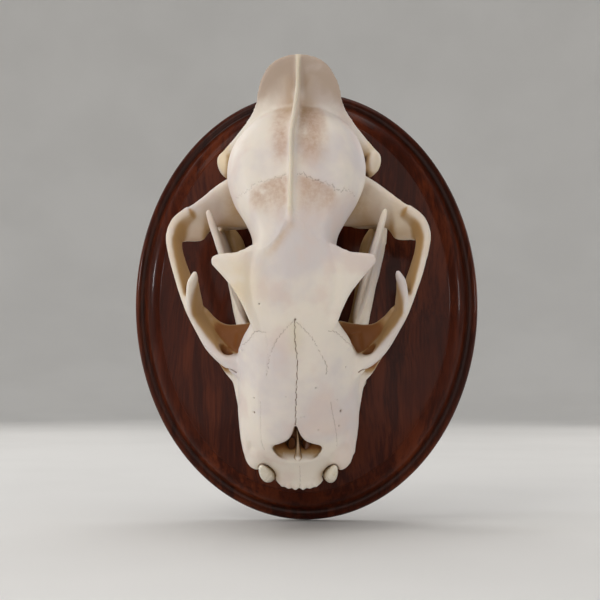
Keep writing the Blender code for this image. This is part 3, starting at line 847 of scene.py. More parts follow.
    # Height over the floor, then the edge's share across, and along from the notch
    nose_depths: tuple[Row, ...] = (
        (0.0, 0.5, 0.46), (1.8, 0.64, 0.6), (3.6, 0.8, 0.74), (5.2, 0.9, 0.86),
        (6.4, 0.96, 0.97), (7.2, 1.0, 1.08), (45.0, 1.04, 1.08),
    )
    nose_passage: tuple[Row, ...] = (
        (3.9, 50, -80.4, 4.2, 5), (4.3, 53, -77.6, 5.4, 10), (5.6, 59.5, -72, 9.2, 16),
        (5.6, 61.5, -62, 8.8, 15), (5.2, 62, -50, 6, 10),
    )
    palate_slit: tuple[Row, ...] = (
        (3.8, 38, -81.6, 3.6, 6.2), (3.8, 46, -80, 3.8, 7.2), (4.0, 54, -77.8, 4.2, 7.4),
    )
    cheek_canal: tuple[Row, ...] = (
        (34.0, 60.2, -58, 6.6, 8.4), (35.6, 59.8, -46, 6.6, 8.8), (37.0, 59.4, -36, 6.6, 8.4),
        (38.5, 60.5, -26, 7, 8),
    )
    eye_pits: tuple[tuple[Row, Row], ...] = (
        ((35.4, 69, -21), (8.2, 13.5, 12)), ((38.6, 73, -8), (10.8, 15, 14)),
    )
    spine_way: tuple[Row, Row] = ((0, 58, 101), (10, 9, 15))
    ear_way: tuple[Row, Row] = ((36, 46.5, 66), (7, 4.2, 4.2))
    joint_room: float = 0.45
    joint_longer: float = 1.6
    tooth_room: float = 0.8
    nape_drift: Row = (2.2, 70.0, 108.0)
    # x and z of the stain at each arch's root, and its half widths
    root_stain: Row = (31, 49, 8, 9)
    # z, and x of the tan streak that runs from the crest to the right horn
    streak: tuple[Row, Row] = ((18, 20, 23.5, 27.4, 30.8), (-12, -9, -6.5, -4, -1))
    # x, h and z of the notch in front of each canine
    notch_place: Row = (16.8, 47, -95)

    def pieces(self) -> list[Thing]:
        """Gives the bodies of the head, its arches, shelves and horns."""
        made = [self.head(), self.nape(), self.crest(), blob(*self.base)]
        for side in (-1, 1):
            made += [plate(rows, side) for rows in (self.arch, self.gum, self.throat_wing)]
            made.append(plate(self.spur, side, 20, 2.3))
            made += [slab(rows, side) for rows in (self.shelf, self.eye_floor, self.brow)]
            made += [blob(middle, radii, side, lean) for middle, radii, lean in self.swellings]
        return made

    def cuts(self) -> list[Thing]:
        """Gives the hollows: nose, eye pits, canals, joints and room for teeth."""
        made = [self.nose_cut(), blob(*self.spine_way)]
        across, upward = Vector((1, 0, 0)), Vector((0, -1, 0))
        for side in (-1, 1):
            rings = []
            for x, h, z, wide, tall in along(self.nose_passage, 3):
                rings.append(oval(spot(side * x, h, z), across, upward, wide, tall))
            made.append(loft("nose_passage", rings))
            made.append(spike(self.palate_slit, side))
            made.append(spike(self.cheek_canal, side))
            made += [blob(middle, radii, side) for middle, radii in self.eye_pits]
            made.append(blob(*self.ear_way, side))
            made.append(knuckle(side, self.joint_room, self.joint_longer))
            made.append(spike(LOWER_CANINE[3:] + (LOWER_CANINE_BEYOND,), side, grow=self.tooth_room))
        return made

    def head(self) -> Thing:
        """Makes the closed form of the head and muzzle.

        Returns:
            The body.
        """
        rings = []
        for z, crown, sx, sh, wx, wh, kx, kh, base in along(self.core, 6):
            top = (sx * 0.52, crown * 0.74 + sh * 0.26)
            half = ((0, crown), top, (sx, sh), (wx, wh), (kx, kh), (0, base))
            rings.append([spot(x, h, z) for x, h in around(both_sides(half), 8)])
        return loft("head", rings)

    def nape(self) -> Thing:
        """Makes the shield at the back of the head, with its flared rim.

        Returns:
            The body.
        """
        rim = [spot(*p) for p in around(both_sides(self.nape_rim), 6)]
        heart, hub = spot(*self.nape_heart), spot(*self.nape_hub)
        back = Vector((0, 0.46, 0.89)) * self.nape_thick / 2 * MM
        rings = [
            [p.lerp(heart, 0.85) for p in rim],
            [p.lerp(heart, 0.4) for p in rim],
            [p.lerp(heart, 0.12) - back * 0.4 for p in rim],
            [p.lerp(heart, 0.02) - back for p in rim],
            [p + (p - hub) * 0.02 for p in rim],
            [p.lerp(hub, 0.03) + back for p in rim],
            [p.lerp(hub, 0.3) - back * 0.6 for p in rim],
            [p.lerp(hub, 0.8) - back * 0.2 for p in rim],
        ]
        return loft("nape", rings)

    def crest(self) -> Thing:
        """Makes the thin keel along the top of the head.

        Returns:
            The body.
        """
        half = self.crest_width / 2
        rings = []
        for z, top, foot, stray in along(self.crest_rows, 6):
            drop = top - foot
            edge = [(0, top), (half * 0.85, top - 0.03 * drop), (half, top - 0.1 * drop),
                    (half * 1.1, top - 0.4 * drop), (half * 1.6, foot), (0, foot - 0.5)]
            rings.append([spot(x + stray, h, z) for x, h in both_sides(edge)])
        return loft("crest", rings)

    def nose_cut(self) -> Thing:
        """Makes the cut that opens the nose, narrower towards its floor.

        Returns:
            The cutter.
        """
        edge = around(both_sides(self.nose_edge), 4)
        notch = self.nose_edge[0][1]
        rings = []
        for rise, across, lengthwise in self.nose_depths:
            ring = [(x * across, notch + (z - notch) * lengthwise) for x, z in edge]
            rings.append([spot(x, self.nose_floor + rise, z) for x, z in ring])
        return loft("nose_cut", rings)

    def bend(self, mesh: bpy.types.Mesh) -> None:
        """Leans the back of the head a little to the animal's left."""
        drift, start, end = self.nape_drift
        places = places_of(mesh)
        places[:, 0] += drift * MM * ramp(places[:, 2] / MM, start, end)
        write_places(mesh, places)

    def masks(self, mesh: bpy.types.Mesh) -> None:
        """Writes where the bone is stained, yellow, grey or cream, and where shade is painted on its
        closed-in parts and, in part, on the back of the head.
        """
        x, h, z = skull_places(mesh)
        # The back of the head is darker, partly its own greyish tone and partly painted shade
        nape_tone_and_shade = ramp(z, 100 - 0.011 * x * x, 106 - 0.011 * x * x) * ramp(h, 66, 76)
        stain, yellow = self.stained_parts(x, h, z)
        write_mask(mesh, "stain", even_out(mesh, stain, 3))
        write_mask(mesh, "yellow", even_out(mesh, yellow, 3))
        write_mask(mesh, "grey", even_out(mesh, nape_tone_and_shade, 3))
        # The closed-in parts get painted shade
        inside = self.closed_parts(x, h, z, normals_of(mesh))
        write_mask(mesh, "inside", even_out(mesh, inside, 2))
        write_mask(mesh, "cream", self.cream_parts(x, h, z))

    def stained_parts(
        self, x: np.ndarray, h: np.ndarray, z: np.ndarray
    ) -> tuple[np.ndarray, np.ndarray]:
        """Finds the salmon stains on the crown and the arches' roots, partly painted shade beside the crest
        and at the root on the animal's right, and the yellow parts.

        Args:
            x: Millimetres across of each point.
            h: Millimetres over the plaque's face.
            z: Millimetres up the wall.

        Returns:
            The stained share and the yellow share of each point.
        """
        wide = np.abs(x)
        seam_z = 57.5 - 0.016 * x * x
        band = ramp(z, 36, 46) * (1 - ramp(z, seam_z - 2.2, seam_z + 0.4)) * ramp(h, 94, 98)
        band *= ramp(wide, 1.5, 3.5) * (1 - ramp(wide, 19, 24))
        # Stains beside the crest, reaching further on the animal's left, where they are partly painted
        # shade
        flank = ramp(z, 60, 72) * (1 - ramp(z, 96, 102)) * ramp(wide, 2, 4)
        flank *= 1 - ramp(np.where(x > 0, x, -x * 1.5), 12, 18)
        flank *= ramp(h, 80, 86)
        root_x, root_z, half_x, half_z = self.root_stain
        root = np.exp(-(((wide - root_x) / half_x) ** 2 + ((z - root_z) / half_z) ** 2))
        root *= 1 - ramp(h, 70, 78)
        # The root on the animal's right gets more, as painted shadow
        root *= np.where(x > 0, 0.9, 1.0)
        middle = np.interp(z, *self.streak)
        line = np.exp(-(((x - middle) / 1.7) ** 2)) * ramp(z, 14, 19)
        line *= (1 - ramp(z, 30, 36)) * ramp(h, 98, 101)
        stain = np.maximum.reduce([0.8 * band, 0.85 * flank, root, 0.8 * line])
        knob = np.exp(-((z - 39) ** 2 + x * x) / 8)
        cheek = np.exp(-(((x + 28) / 9) ** 2 + ((z - 2) / 14) ** 2)) * ramp(h, 84, 92)
        mastoid = ramp(wide, 35, 38) * ramp(z, 60, 66) * (1 - ramp(h, 58, 64))
        arches = 0.45 * ramp(wide, 42, 52) * (1 - ramp(h, 62, 70))
        yellow = np.maximum.reduce(
            [0.8 * knob, 0.8 * cheek, 0.9 * mastoid, arches, 0.5 * line, 0.8 * root]
        )
        return stain, yellow

    def cream_parts(self, x: np.ndarray, h: np.ndarray, z: np.ndarray) -> np.ndarray:
        """Finds the crest's edge and the pale rise where the nose bones end.

        Args:
            x: Millimetres across of each point.
            h: Millimetres over the plaque's face.
            z: Millimetres up the wall.

        Returns:
            The cream share of each point.
        """
        rows = sorted(self.crest_rows)
        keel = np.interp(z, [row[0] for row in rows], [row[3] for row in rows])
        keel = keel + self.nape_drift[0] * ramp(z, *self.nape_drift[1:])
        edge = np.exp(-(((x - keel) / 1.35) ** 4)) * ramp(z, 33, 40) * ramp(h, 88, 92)
        rise = np.exp(-(((x - 1.2) / 3.4) ** 2)) * ramp(z, -36, -27) * (1 - ramp(z, -18, -15))
        return np.maximum(edge, 0.8 * rise)

    def closed_parts(
        self, x: np.ndarray, h: np.ndarray, z: np.ndarray, normals: np.ndarray
    ) -> np.ndarray:
        """Finds where shade and bounce light from the board are painted: the arches' inner faces, the eye
        pits' floors, the nose and its notches.

        Args:
            x: Millimetres across of each point.
            h: Millimetres over the plaque's face.
            z: Millimetres up the wall.
            normals: The normal at each point.

        Returns:
            The share of each point that gets painted tan or amber shade, partly the bone's own stain.
        """
        wide = np.abs(x)
        inward = ramp(-np.sign(x) * normals[:, 0], 0.15, 0.75) * ramp(wide, 36, 44)
        inward *= 1 - ramp(h, 66, 74)
        pan = ramp(wide, 17, 24) * (1 - ramp(wide, 44, 50)) * ramp(z, -44, -38)
        pan *= (1 - ramp(z, -16, -8)) * (1 - ramp(h, 60, 68)) * ramp(-normals[:, 1], 0.0, 0.5)
        notch_x, notch_h, notch_z = self.notch_place
        away = (wide - notch_x) ** 2 + (h - notch_h) ** 2 + (z - notch_z) ** 2
        notch = np.exp(-away / 36)
        hole = ramp(-z, 64, 68) * (1 - ramp(-z, 80, 88)) * (1 - ramp(wide, 12, 13.5))
        hole *= ramp(h, 43.5, 45) * (1 - ramp(h, 59, 61))
        # Painted shade: tan on inner faces and in the notches, amber on the eye floors and deep in the nose
        return np.maximum.reduce([0.68 * inward, 0.95 * pan, 0.7 * notch, hole])


UPPER_CANINE: tuple[Row, ...] = (
    (22, 52, -78.5, 7, 9), (23.0, 47.5, -81.6, 9.6, 12.6), (23.6, 41, -84.6, 10.4, 13.6),
    (24.0, 31, -87, 8.8, 11), (23.8, 20, -87.6, 6.6, 8), (23.2, 11, -86.4, 4.2, 5),
    (22.6, 5.4, -84.8, 1.6, 1.8),
)
LOWER_CANINE: tuple[Row, ...] = (
    (11.2, 13, -80, 8, 11), (13.0, 22, -86.5, 9.4, 12.5), (14.6, 31, -91.2, 8.8, 11.6),
    (15.8, 39, -94.6, 7.8, 10.6), (17.0, 46, -95.6, 7.0, 9.2), (18.2, 52, -94.2, 5.8, 7.2),
    (19.2, 56.4, -91.8, 3.6, 4.2), (19.6, 58.4, -90.8, 1.4, 1.6),
)
LOWER_CANINE_BEYOND: Row = (20.6, 63, -88.6, 3, 3)
# The roller of the jaw joint: its place, and its radius along x
KNUCKLE_H = 36.2
KNUCKLE_Z = 43.6
KNUCKLE: tuple[Row, ...] = (
    (26.6, 2.4), (28.4, 4.7), (33, 5.6), (42, 5.8), (48.4, 5.0), (51.2, 2.6),
)


def knuckle(side: int, grow: float = 0.0, longer: float = 0.0) -> Thing:
    """Makes the roller of the jaw joint, or the hollow that holds it.

    Args:
        side: The sign of x.
        grow: Millimetres added to its radius.
        longer: Millimetres added at each end.

    Returns:
        The closed roller.
    """
    middle = (KNUCKLE[0][0] + KNUCKLE[-1][0]) / 2
    rings = []
    for x, radius in along(KNUCKLE, 4):
        place = x + math.copysign(longer, x - middle)
        centre = spot(side * place, KNUCKLE_H, KNUCKLE_Z)
        width = 2 * (radius + grow)
        rings.append(oval(centre, Vector((0, 0, 1)), Vector((0, -1, 0)), width, width, 28))
    return loft("knuckle", rings)


@dataclass
class LowerJaw(Bone):
    """One half of the lower jaw, without its teeth."""

    side: Side = Side.LEFT
    grid: float = 0.7
    soften: int = 8
    triangles: int = 60000
    body: tuple[Row, ...] = (
        (-99.5, -0.6, 9.5, 22.5, 31.5), (-95.5, -0.8, 14.5, 14, 33.5), (-88.5, -0.8, 18.2, 6.5, 34),
        (-80, -0.4, 19.2, 2.6, 31.5), (-71, 4.5, 20.6, 1.1, 29), (-60, 12, 24.2, 0.6, 28),
        (-46, 17.4, 29, 0.3, 28), (-30, 21.4, 33.6, 0.2, 28.4), (-14, 25.6, 37.4, 0.5, 29),
        (0, 29, 40.2, 1.6, 30), (12, 30.6, 42.6, 2.0, 28), (24, 31.6, 45.2, 2.0, 25),
        (34, 34, 47, 2.4, 24), (41, 38.5, 48, 4, 23),
    )
    blade: tuple[Row, ...] = (
        (8, -8, 34, 37, 45.6, 7.6), (20, -12, 31, 40, 46, 7), (30, -14.5, 29.6, 41.4, 45.2, 6),
        (40, -13, 29.8, 37.4, 43.8, 5.2), (50, -5.5, 32, 35.4, 43.4, 4.6),
        (60, 7, 35.6, 37.4, 44.8, 4.0), (67, 20, 39.4, 42.6, 46.5, 3.6),
        (71, 31, 42.8, 44.2, 46.8, 3.4), (72.6, 36, 44.4, 42.6, 46.4, 2.8),
    )
    heel: tuple[Row, ...] = (
        (44.4, 13, 33, 7, 14), (45.4, 10.5, 42, 6, 11), (45.6, 10, 49, 4.6, 7.5),
        (45.2, 11, 53.4, 2.4, 3.6),
    )
    neck: tuple[Row, ...] = (
        (44.4, 24, 35, 7.2, 14), (43.8, 30, 40, 8, 12), (42.4, 34.5, 42.6, 9, 9),
    )
    muscle_hollow: tuple[Row, Row, Row] = ((51.6, 33, 17), (8, 13, 19), (28, 0, 0))
    chin_block: Row = (20.0, 60.0, 60.0)
    chin_gap: float = 0.3
    tooth_room: float = 0.8

    def pieces(self) -> list[Thing]:
        """Gives the bodies of the jaw's bar, blade, joint, heel and neck."""
        side = self.side.value
        rings = []
        for z, inner, outer, low, high in along(self.body, 5):
            centre = spot(side * (inner + outer) / 2, (low + high) / 2, z)
            wide, tall = outer - inner, high - low
            rings.append(oval(centre, Vector((1, 0, 0)), Vector((0, -1, 0)), wide, tall, 32, 2.7))
        made = [loft("jaw_bar", rings)]
        rings = []
        for h, z0, x0, z1, x1, thick in along(self.blade, 5):
            front, rear = spot(side * x0, h, z0), spot(side * x1, h, z1)
            lengthwise = (rear - front).normalized()
            across = lengthwise.cross(Vector((0, -1, 0))).normalized()
            length = (rear - front).length / MM
            rings.append(oval((front + rear) / 2, lengthwise, across, length, thick, 40, 2.8))
        made.append(loft("jaw_blade", rings))
        return made + [knuckle(side), spike(self.heel, side), spike(self.neck, side)]

    def cuts(self) -> list[Thing]:
        """Gives the chin's flat, the chewing muscle's hollow, and room for a tooth."""
        side = self.side.value
        wide = self.chin_block[0]
        bpy.ops.mesh.primitive_cube_add(
            size=MM, location=spot(side * (self.chin_gap - wide) / 2, 20, -90), scale=self.chin_block
        )
        block = bpy.context.object
        settle(block)
        room = spike(UPPER_CANINE[2:], side, grow=self.tooth_room)
        middle, radii, lean = self.muscle_hollow
        return [block, room, blob(middle, radii, side, lean)]

    def masks(self, mesh: bpy.types.Mesh) -> None:
        """Writes where the jaw is yellow, and where it is tan: on its inner side as painted shade and
        bounce light, and on the middle of its chin.
        """
        x, h, z = skull_places(mesh)
        for name in ("stain", "grey", "cream"):
            write_mask(mesh, name, np.zeros(len(x)))
        write_mask(mesh, "yellow", 0.35 * (1 - ramp(h, 20, 55)) + 0.3 * ramp(z, 20, 45))
        normals = normals_of(mesh)
        # Painted shade and bounce light from the board on the inner faces
        inward = 0.66 * ramp(-self.side.value * normals[:, 0], -0.1, 0.5) * ramp(z, -34, -16)
        inward *= 1 - ramp(h, 34, 50)
        chin = (1 - ramp(np.abs(x), 9, 11)) * ramp(h, 22, 26)
        chin *= ramp(-z, 64, 68) * (1 - ramp(-z, 88, 91))
        write_mask(mesh, "inside", even_out(mesh, np.maximum(inward, chin), 2))


@dataclass
class Teeth(Assembly):
    """The teeth of one side of one jaw, in three pieces: canine, cheek teeth, front teeth."""

    rays: int = 8
    reach: float = 30.0
    jaw: Jaw = Jaw.UPPER
    side: Side = Side.LEFT
    canine: tuple[Row, ...] = ()
    # x and z of the middle, length, width, h of the gum, and the cusps with their places, tips
    # and shares of the length
    cheek: tuple[Any, ...] = ()
    front: tuple[Row, ...] = ()
    gum: float = 42.0
    grid: float = 0.32
    flutes: tuple[Row, ...] = ((24, 9, 0.055), (-22, 9, 0.05))

    def label(self, what: str) -> str:
        """Names one of the pieces."""
        return f"{self.jaw.name.lower()}_{what}_{self.side.name.lower()}"

    def build(self) -> None:
        """Makes the canine, the cheek teeth and the front teeth."""
        side = self.side.value
        canine = spike(self.canine, side, 10, 48, flutes=self.flutes)
        canine.name = self.label("canine")
        finish_with(canine, "SUBSURF", levels=1, render_levels=1)
        cheek = self.fused([self.cheek_tooth(row) for row in self.cheek], "cheek_teeth")
        front = self.fused([self.front_tooth(row) for row in self.front], "front_teeth")
        for piece in (canine, cheek, front):
            piece.data.shade_smooth()
            self.made.append(piece)

    def fused(self, teeth: Sequence[Sequence[Thing]], what: str) -> Thing:
        """Fuses each tooth's bodies and joins the teeth as one piece.

        Args:
            teeth: The bodies of each tooth.
            what: What the piece is called.

        Returns:
            The piece.
        """
        made = []
        for bodies in teeth:
            first, *others = bodies
            if others:
                boolean(first, others, "UNION")
            finish_with(first, "REMESH", mode="VOXEL", voxel_size=self.grid * MM)
            finish_with(first, "SMOOTH", factor=0.5, iterations=5)
            made.append(first)
        pick(made[0])
        for tooth in made[1:]:
            tooth.select_set(True)
        if len(made) > 1:
            bpy.ops.object.join()
        made[0].name = self.label(what)
        return made[0]

    def cheek_tooth(self, row: Sequence[Any]) -> list[Thing]:
        """Makes the crown and cusps of a cheek tooth.

        Args:
            row: The tooth's sizes.

        Returns:
            Its bodies, which overlap.
        """
        x, z, length, width, gum, cusps = row
        side, up = self.side.value, self.jaw.value
        tallest = max(abs(tip - gum) for _, tip, _ in cusps)
        crown = (
            (x, gum - up * 4, z, width * 0.8, length * 0.88),
            (x, gum + up * 1.5, z, width, length),
            (x, gum + up * tallest * 0.42, z, width * 0.7, length * 0.86),
            (x, gum + up * tallest * 0.5, z, width * 0.3, length * 0.7),
        )
        made = [spike(crown, side)]
        for place, tip, share in cusps:
            middle = z + place * length / 2
            half = length * share
            rise = tip - gum
            rows = (
                (x, gum - up * 4, middle, width * 0.8, half * 1.0),
                (x, gum + up * 1.5, middle, width * 0.98, half * 1.1),
                (x, gum + rise * 0.55, middle, width * 0.68, half * 0.78),
                (x, gum + rise * 0.86, middle, width * 0.32, half * 0.36),
                (x, tip, middle, width * 0.14, half * 0.12),
            )
            made.append(spike(rows, side))
        return made

    def front_tooth(self, row: Row) -> list[Thing]:
        """Makes a front tooth, broad across its edge.

        Args:
            row: x, z and size against the middle one.

        Returns:
            Its one body, in a list.
        """
        x, z, size = row
        up = self.jaw.value
        rows = (
            (x, self.gum - up * 2.4, z + 2, 2.6 * size, 3.4 * size),
            (x, self.gum + up * 1, z, 3.3 * size, 4.2 * size),
            (x, self.gum + up * 4.2 * size, z - 0.3, 3.3 * size, 3.0 * size),
            (x, self.gum + up * 6.8 * size, z + 0.2, 2.2 * size, 1.1 * size),
        )
        return [spike(rows, self.side.value)]


@dataclass
class NoseInside(Assembly):
    """The partition of the nose and the thin scrolls beside it."""

    # z, then h of the partition's lower and upper edges, and its thickness
    partition: tuple[Row, ...] = (
        (-48, 52, 68, 1.4), (-60, 50, 67, 1.3), (-70, 49, 64, 1.3), (-76, 48.5, 59, 1.7),
        (-80, 48.5, 56.6, 2.4), (-83.5, 50, 57, 3.6), (-86.2, 52, 58.4, 5.0), (-88.6, 50, 56.8, 3.0),
    )
    # z, x and h of the middle, and the scroll's size
    scroll: tuple[Row, ...] = (
        (-66, 5.2, 60.5, 0.7), (-63, 5.5, 61, 0.9), (-58, 5.5, 61.5, 1.0), (-52, 5.2, 62, 0.7),
    )
    turns: float = 1.7
    thick: float = 0.45

    def build(self) -> None:
        """Makes the partition and the two scrolls."""
        rings = []
        for z, low, high, thick in along(self.partition, 5):
            centre = spot(0, (low + high) / 2, z)
            rings.append(oval(centre, Vector((1, 0, 0)), Vector((0, -1, 0)), thick, high - low, 24))
        wall = loft("nose_partition", rings)
        wall.data.shade_smooth()
        # Painted shade, tan, on the partition deeper inside the nose
        write_mask(wall.data, "inside", 0.45 * ramp(places_of(wall.data)[:, 2] / MM, -86, -78))
        self.made.append(wall)
        for side in Side:
            scroll = self.one_scroll(side)
            # The scrolls lie in the dark of the nose and are painted wholly in amber shade
            write_mask(scroll.data, "inside", np.ones(len(scroll.data.vertices)))
            self.made.append(scroll)

    def one_scroll(self, side: Side) -> Thing:
        """Makes one scroll as a rolled sheet.

        Args:
            side: The side it is on.

        Returns:
            The scroll.
        """
        rows = along(self.scroll, 5)
        bpy.ops.mesh.primitive_grid_add(x_subdivisions=39, y_subdivisions=len(rows) - 1, size=MM)
        scroll = bpy.context.object
        scroll.name = f"nose_scroll_{side.name.lower()}"
        places = []
        for z, x, h, size in rows:
            for k in range(40):
                share = k / 39
                angle = math.pi * (0.5 + 2 * self.turns * share)
                radius = (0.8 + 2.6 * share) * size
                across = x + radius * math.cos(angle) * 0.9
                rise = h + radius * math.sin(angle) * 1.5
                places.append(tuple(spot(side.value * across, rise, z)))
        write_places(scroll.data, np.array(places))
        finish_with(scroll, "SOLIDIFY", thickness=self.thick * MM, offset=0)
        scroll.data.shade_smooth()
        return scroll


@dataclass
class Plaque(Assembly):
    """The oval board, drawn in step by step along its moulded edge."""

    slot: str = "wood"
    width: float = 203.2
    height: float = 254.0
    segments: int = 240
    # Corners of the moulding from the wall inwards: distance in from the outline, and height
    corners: tuple[Row, ...] = (
        (0.0, 5.0), (0.5, 6.8), (1.6, 8.2), (3.2, 9.0), (4.6, 9.0), (5.6, 8.7),
        (6.4, 9.0), (7.4, 10.4), (8.4, 12.2), (9.6, 14.0), (11.0, 15.6), (12.8, 16.9),
        (14.8, 17.7), (16.2, 17.95), (16.6, 18.1), (16.9, 18.6), (17.4, 18.95), (18.4, 19.0),
    )
    back_bevel: float = 0.8

    def build(self) -> None:
        """Makes the board by inset and extrude from an oval disc."""
        bpy.ops.mesh.primitive_circle_add(
            vertices=self.segments,
            radius=0.5 * MM,
            fill_type="NGON",
            rotation=(math.radians(90), 0, 0),
        )
        board = bpy.context.object
        board.name = "plaque_board"
        inner = 2 * self.back_bevel
        board.scale = (self.width - inner, self.height - inner, 1)
        settle(board)
        pick(board)
        edit_faces(board, lambda face: True)
        bpy.ops.mesh.extrude_region()
        bevel = self.back_bevel
        bpy.ops.transform.translate(value=(0, -bevel * MM, 0))
        bpy.ops.transform.resize(value=(self.width / (self.width - 2 * bevel), 1,
                                        self.height / (self.height - 2 * bevel)))
        inset, rise = 0.0, bevel
        for next_inset, next_rise in self.corners:
            if next_inset == inset:
                out = (0, (rise - next_rise) * MM, 0)
                bpy.ops.mesh.extrude_region_move(TRANSFORM_OT_translate={"value": out})
            else:
                bpy.ops.mesh.inset(thickness=(next_inset - inset) * MM, depth=(next_rise - rise) * MM)
            inset, rise = next_inset, next_rise
        bpy.ops.mesh.inset(thickness=2 * MM, depth=0)
        turn_outwards()
        board.data.shade_smooth()
        pick(board)
        bpy.ops.object.shade_smooth_by_angle(angle=math.radians(32))
        self.masks(board.data)
        self.made.append(board)

    def masks(self, mesh: bpy.types.Mesh) -> None:
        """Writes a painted shade along the moulding's groove, from its height and its place."""
        places = places_of(mesh) / MM
        rise = -places[:, 1]
        share = np.sqrt((places[:, 0] / (self.width / 2)) ** 2 + (places[:, 2] / (self.height / 2)) ** 2)
        groove = np.exp(-(((rise - 8.8) / 0.35) ** 2)) * ramp(share, 0.9, 0.93)
        write_mask(mesh, "recess_shade", groove)


class Nodes:
    """A material's or a group's node tree, with short ways to add to it."""

    def __init__(self, tree: bpy.types.NodeTree) -> None:
        """Keeps the tree that nodes are added to."""
        self.tree = tree

    def add(self, kind: str, inputs: dict[Any, Any] | None = None, **fields: Any) -> bpy.types.Node:
        """Adds a node.

        Args:
            kind: The node's type, without "ShaderNode".
            inputs: Values or sockets for its inputs, by name or number.
            **fields: Values of its own fields.

        Returns:
            The node.
        """
        node = self.tree.nodes.new("ShaderNode" + kind)
        for name, value in fields.items():
            setattr(node, name, value)
        for name, value in (inputs or {}).items():
            if isinstance(value, bpy.types.NodeSocket):
                self.tree.links.new(value, node.inputs[name])
            else:
                node.inputs[name].default_value = value
        return node

    def math(self, operation: str, a: Any, b: Any = 0.0, clamp: bool = False) -> Any:
        """Adds a Math node and gives its output."""
        node = self.add("Math", {0: a, 1: b}, operation=operation, use_clamp=clamp)
        return node.outputs[0]

    def mix(self, share: Any, one: Any, other: Any) -> Any:
        """Mixes two colours.

        Args:
            share: How much of the other one.
            one: The first colour or socket.
            other: The other colour or socket.

        Returns:
            The colour's socket.
        """
        # A Mix node's colours are its inputs 6 and 7 and its output 2
        node = self.add("Mix", {0: share, 6: one, 7: other}, data_type="RGBA")
        return node.outputs[2]

    def span(self, value: Any, low: float, high: float, start: float = 0.0, end: float = 1.0) -> Any:
        """Maps a value from one range to another, held at both ends.

        Args:
            value: The socket.
            low: The value that gives start.
            high: The value that gives end.
            start: The first result.
            end: The last result.

        Returns:
            The result's socket.
        """
        inputs = {0: value, 1: low, 2: high, 3: start, 4: end}
        return self.add("MapRange", inputs, interpolation_type="SMOOTHSTEP").outputs[0]

    def mask(self, name: str) -> Any:
        """Reads one of the piece's masks."""
        return self.add("Attribute", attribute_name=name).outputs["Fac"]

    def noise(self, place: Any, scale: float, detail: float = 3.0, rough: float = 0.55) -> Any:
        """Adds cloudy noise and gives its value."""
        inputs = {"Vector": place, "Scale": scale, "Detail": detail, "Roughness": rough}
        return self.add("TexNoise", inputs).outputs[0]


def new_group(name: str, inputs: dict[str, float], outputs: Sequence[str]) -> tuple[Any, Nodes, Any, Any]:
    """Starts a node group that several materials share.

    Args:
        name: The group's name.
        inputs: Its number inputs with their defaults. A Vector input named Place is added first.
        outputs: Its number outputs.

    Returns:
        The group, its nodes, and its input and output nodes.
    """
    tree = bpy.data.node_groups.new(name, "ShaderNodeTree")
    tree.interface.new_socket("Place", in_out="INPUT", socket_type="NodeSocketVector")
    for label, value in inputs.items():
        socket = tree.interface.new_socket(label, in_out="INPUT", socket_type="NodeSocketFloat")
        socket.default_value = value
    for label in outputs:
        tree.interface.new_socket(label, in_out="OUTPUT", socket_type="NodeSocketFloat")
    start = tree.nodes.new("NodeGroupInput")
    end = tree.nodes.new("NodeGroupOutput")
    return tree, Nodes(tree), start, end


def patches_group() -> bpy.types.NodeTree:
    """Makes soft patches of any size, used by bone, enamel and wood.

    Returns:
        The group.
    """
    tree, nodes, start, end = new_group(
        "soft_patches", {"Scale": 30.0, "Low": 0.4, "High": 0.6}, ["Share"]
    )
    noise = nodes.add("TexNoise", {"Vector": start.outputs["Place"], "Detail": 4.0})
    tree.links.new(start.outputs["Scale"], noise.inputs["Scale"])
    low, high = start.outputs["Low"], start.outputs["High"]
    share = nodes.add("MapRange", {0: noise.outputs[0], 1: low, 2: high},
                      interpolation_type="SMOOTHSTEP")
    tree.links.new(share.outputs[0], end.inputs["Share"])
    return tree


def pores_group() -> bpy.types.NodeTree:
    """Makes fine pores, used by bone and wood.

    Returns:
        The group.
    """
    tree, nodes, start, end = new_group(
        "fine_pores", {"Scale": 700.0, "Size": 0.25}, ["Share"]
    )
    cells = nodes.add("TexVoronoi", {"Vector": start.outputs["Place"], "Randomness": 1.0})
    tree.links.new(start.outputs["Scale"], cells.inputs["Scale"])
    inputs = {0: cells.outputs["Distance"], 1: 0.02, 2: start.outputs["Size"], 3: 1.0, 4: 0.0}
    share = nodes.add("MapRange", inputs, interpolation_type="SMOOTHSTEP")
    tree.links.new(share.outputs[0], end.inputs["Share"])
    return tree


@dataclass(frozen=True)
class Finish:
    """What every finish shares: a name and a plain colour for the viewport."""

    name: str
    plain: Row = (0.7, 0.65, 0.55)

    def start(self) -> tuple[bpy.types.Material, Nodes, bpy.types.Node, Any]:
        """Starts the material.

        Returns:
            The material, its nodes, its shader and the place in object space.
        """
        material = bpy.data.materials.new(self.name)
        material.use_nodes = True
        material.diffuse_color = (*self.plain, 1.0)
        nodes = Nodes(material.node_tree)
        shader = material.node_tree.nodes["Principled BSDF"]
        place = nodes.add("TexCoord").outputs["Object"]
        return material, nodes, shader, place


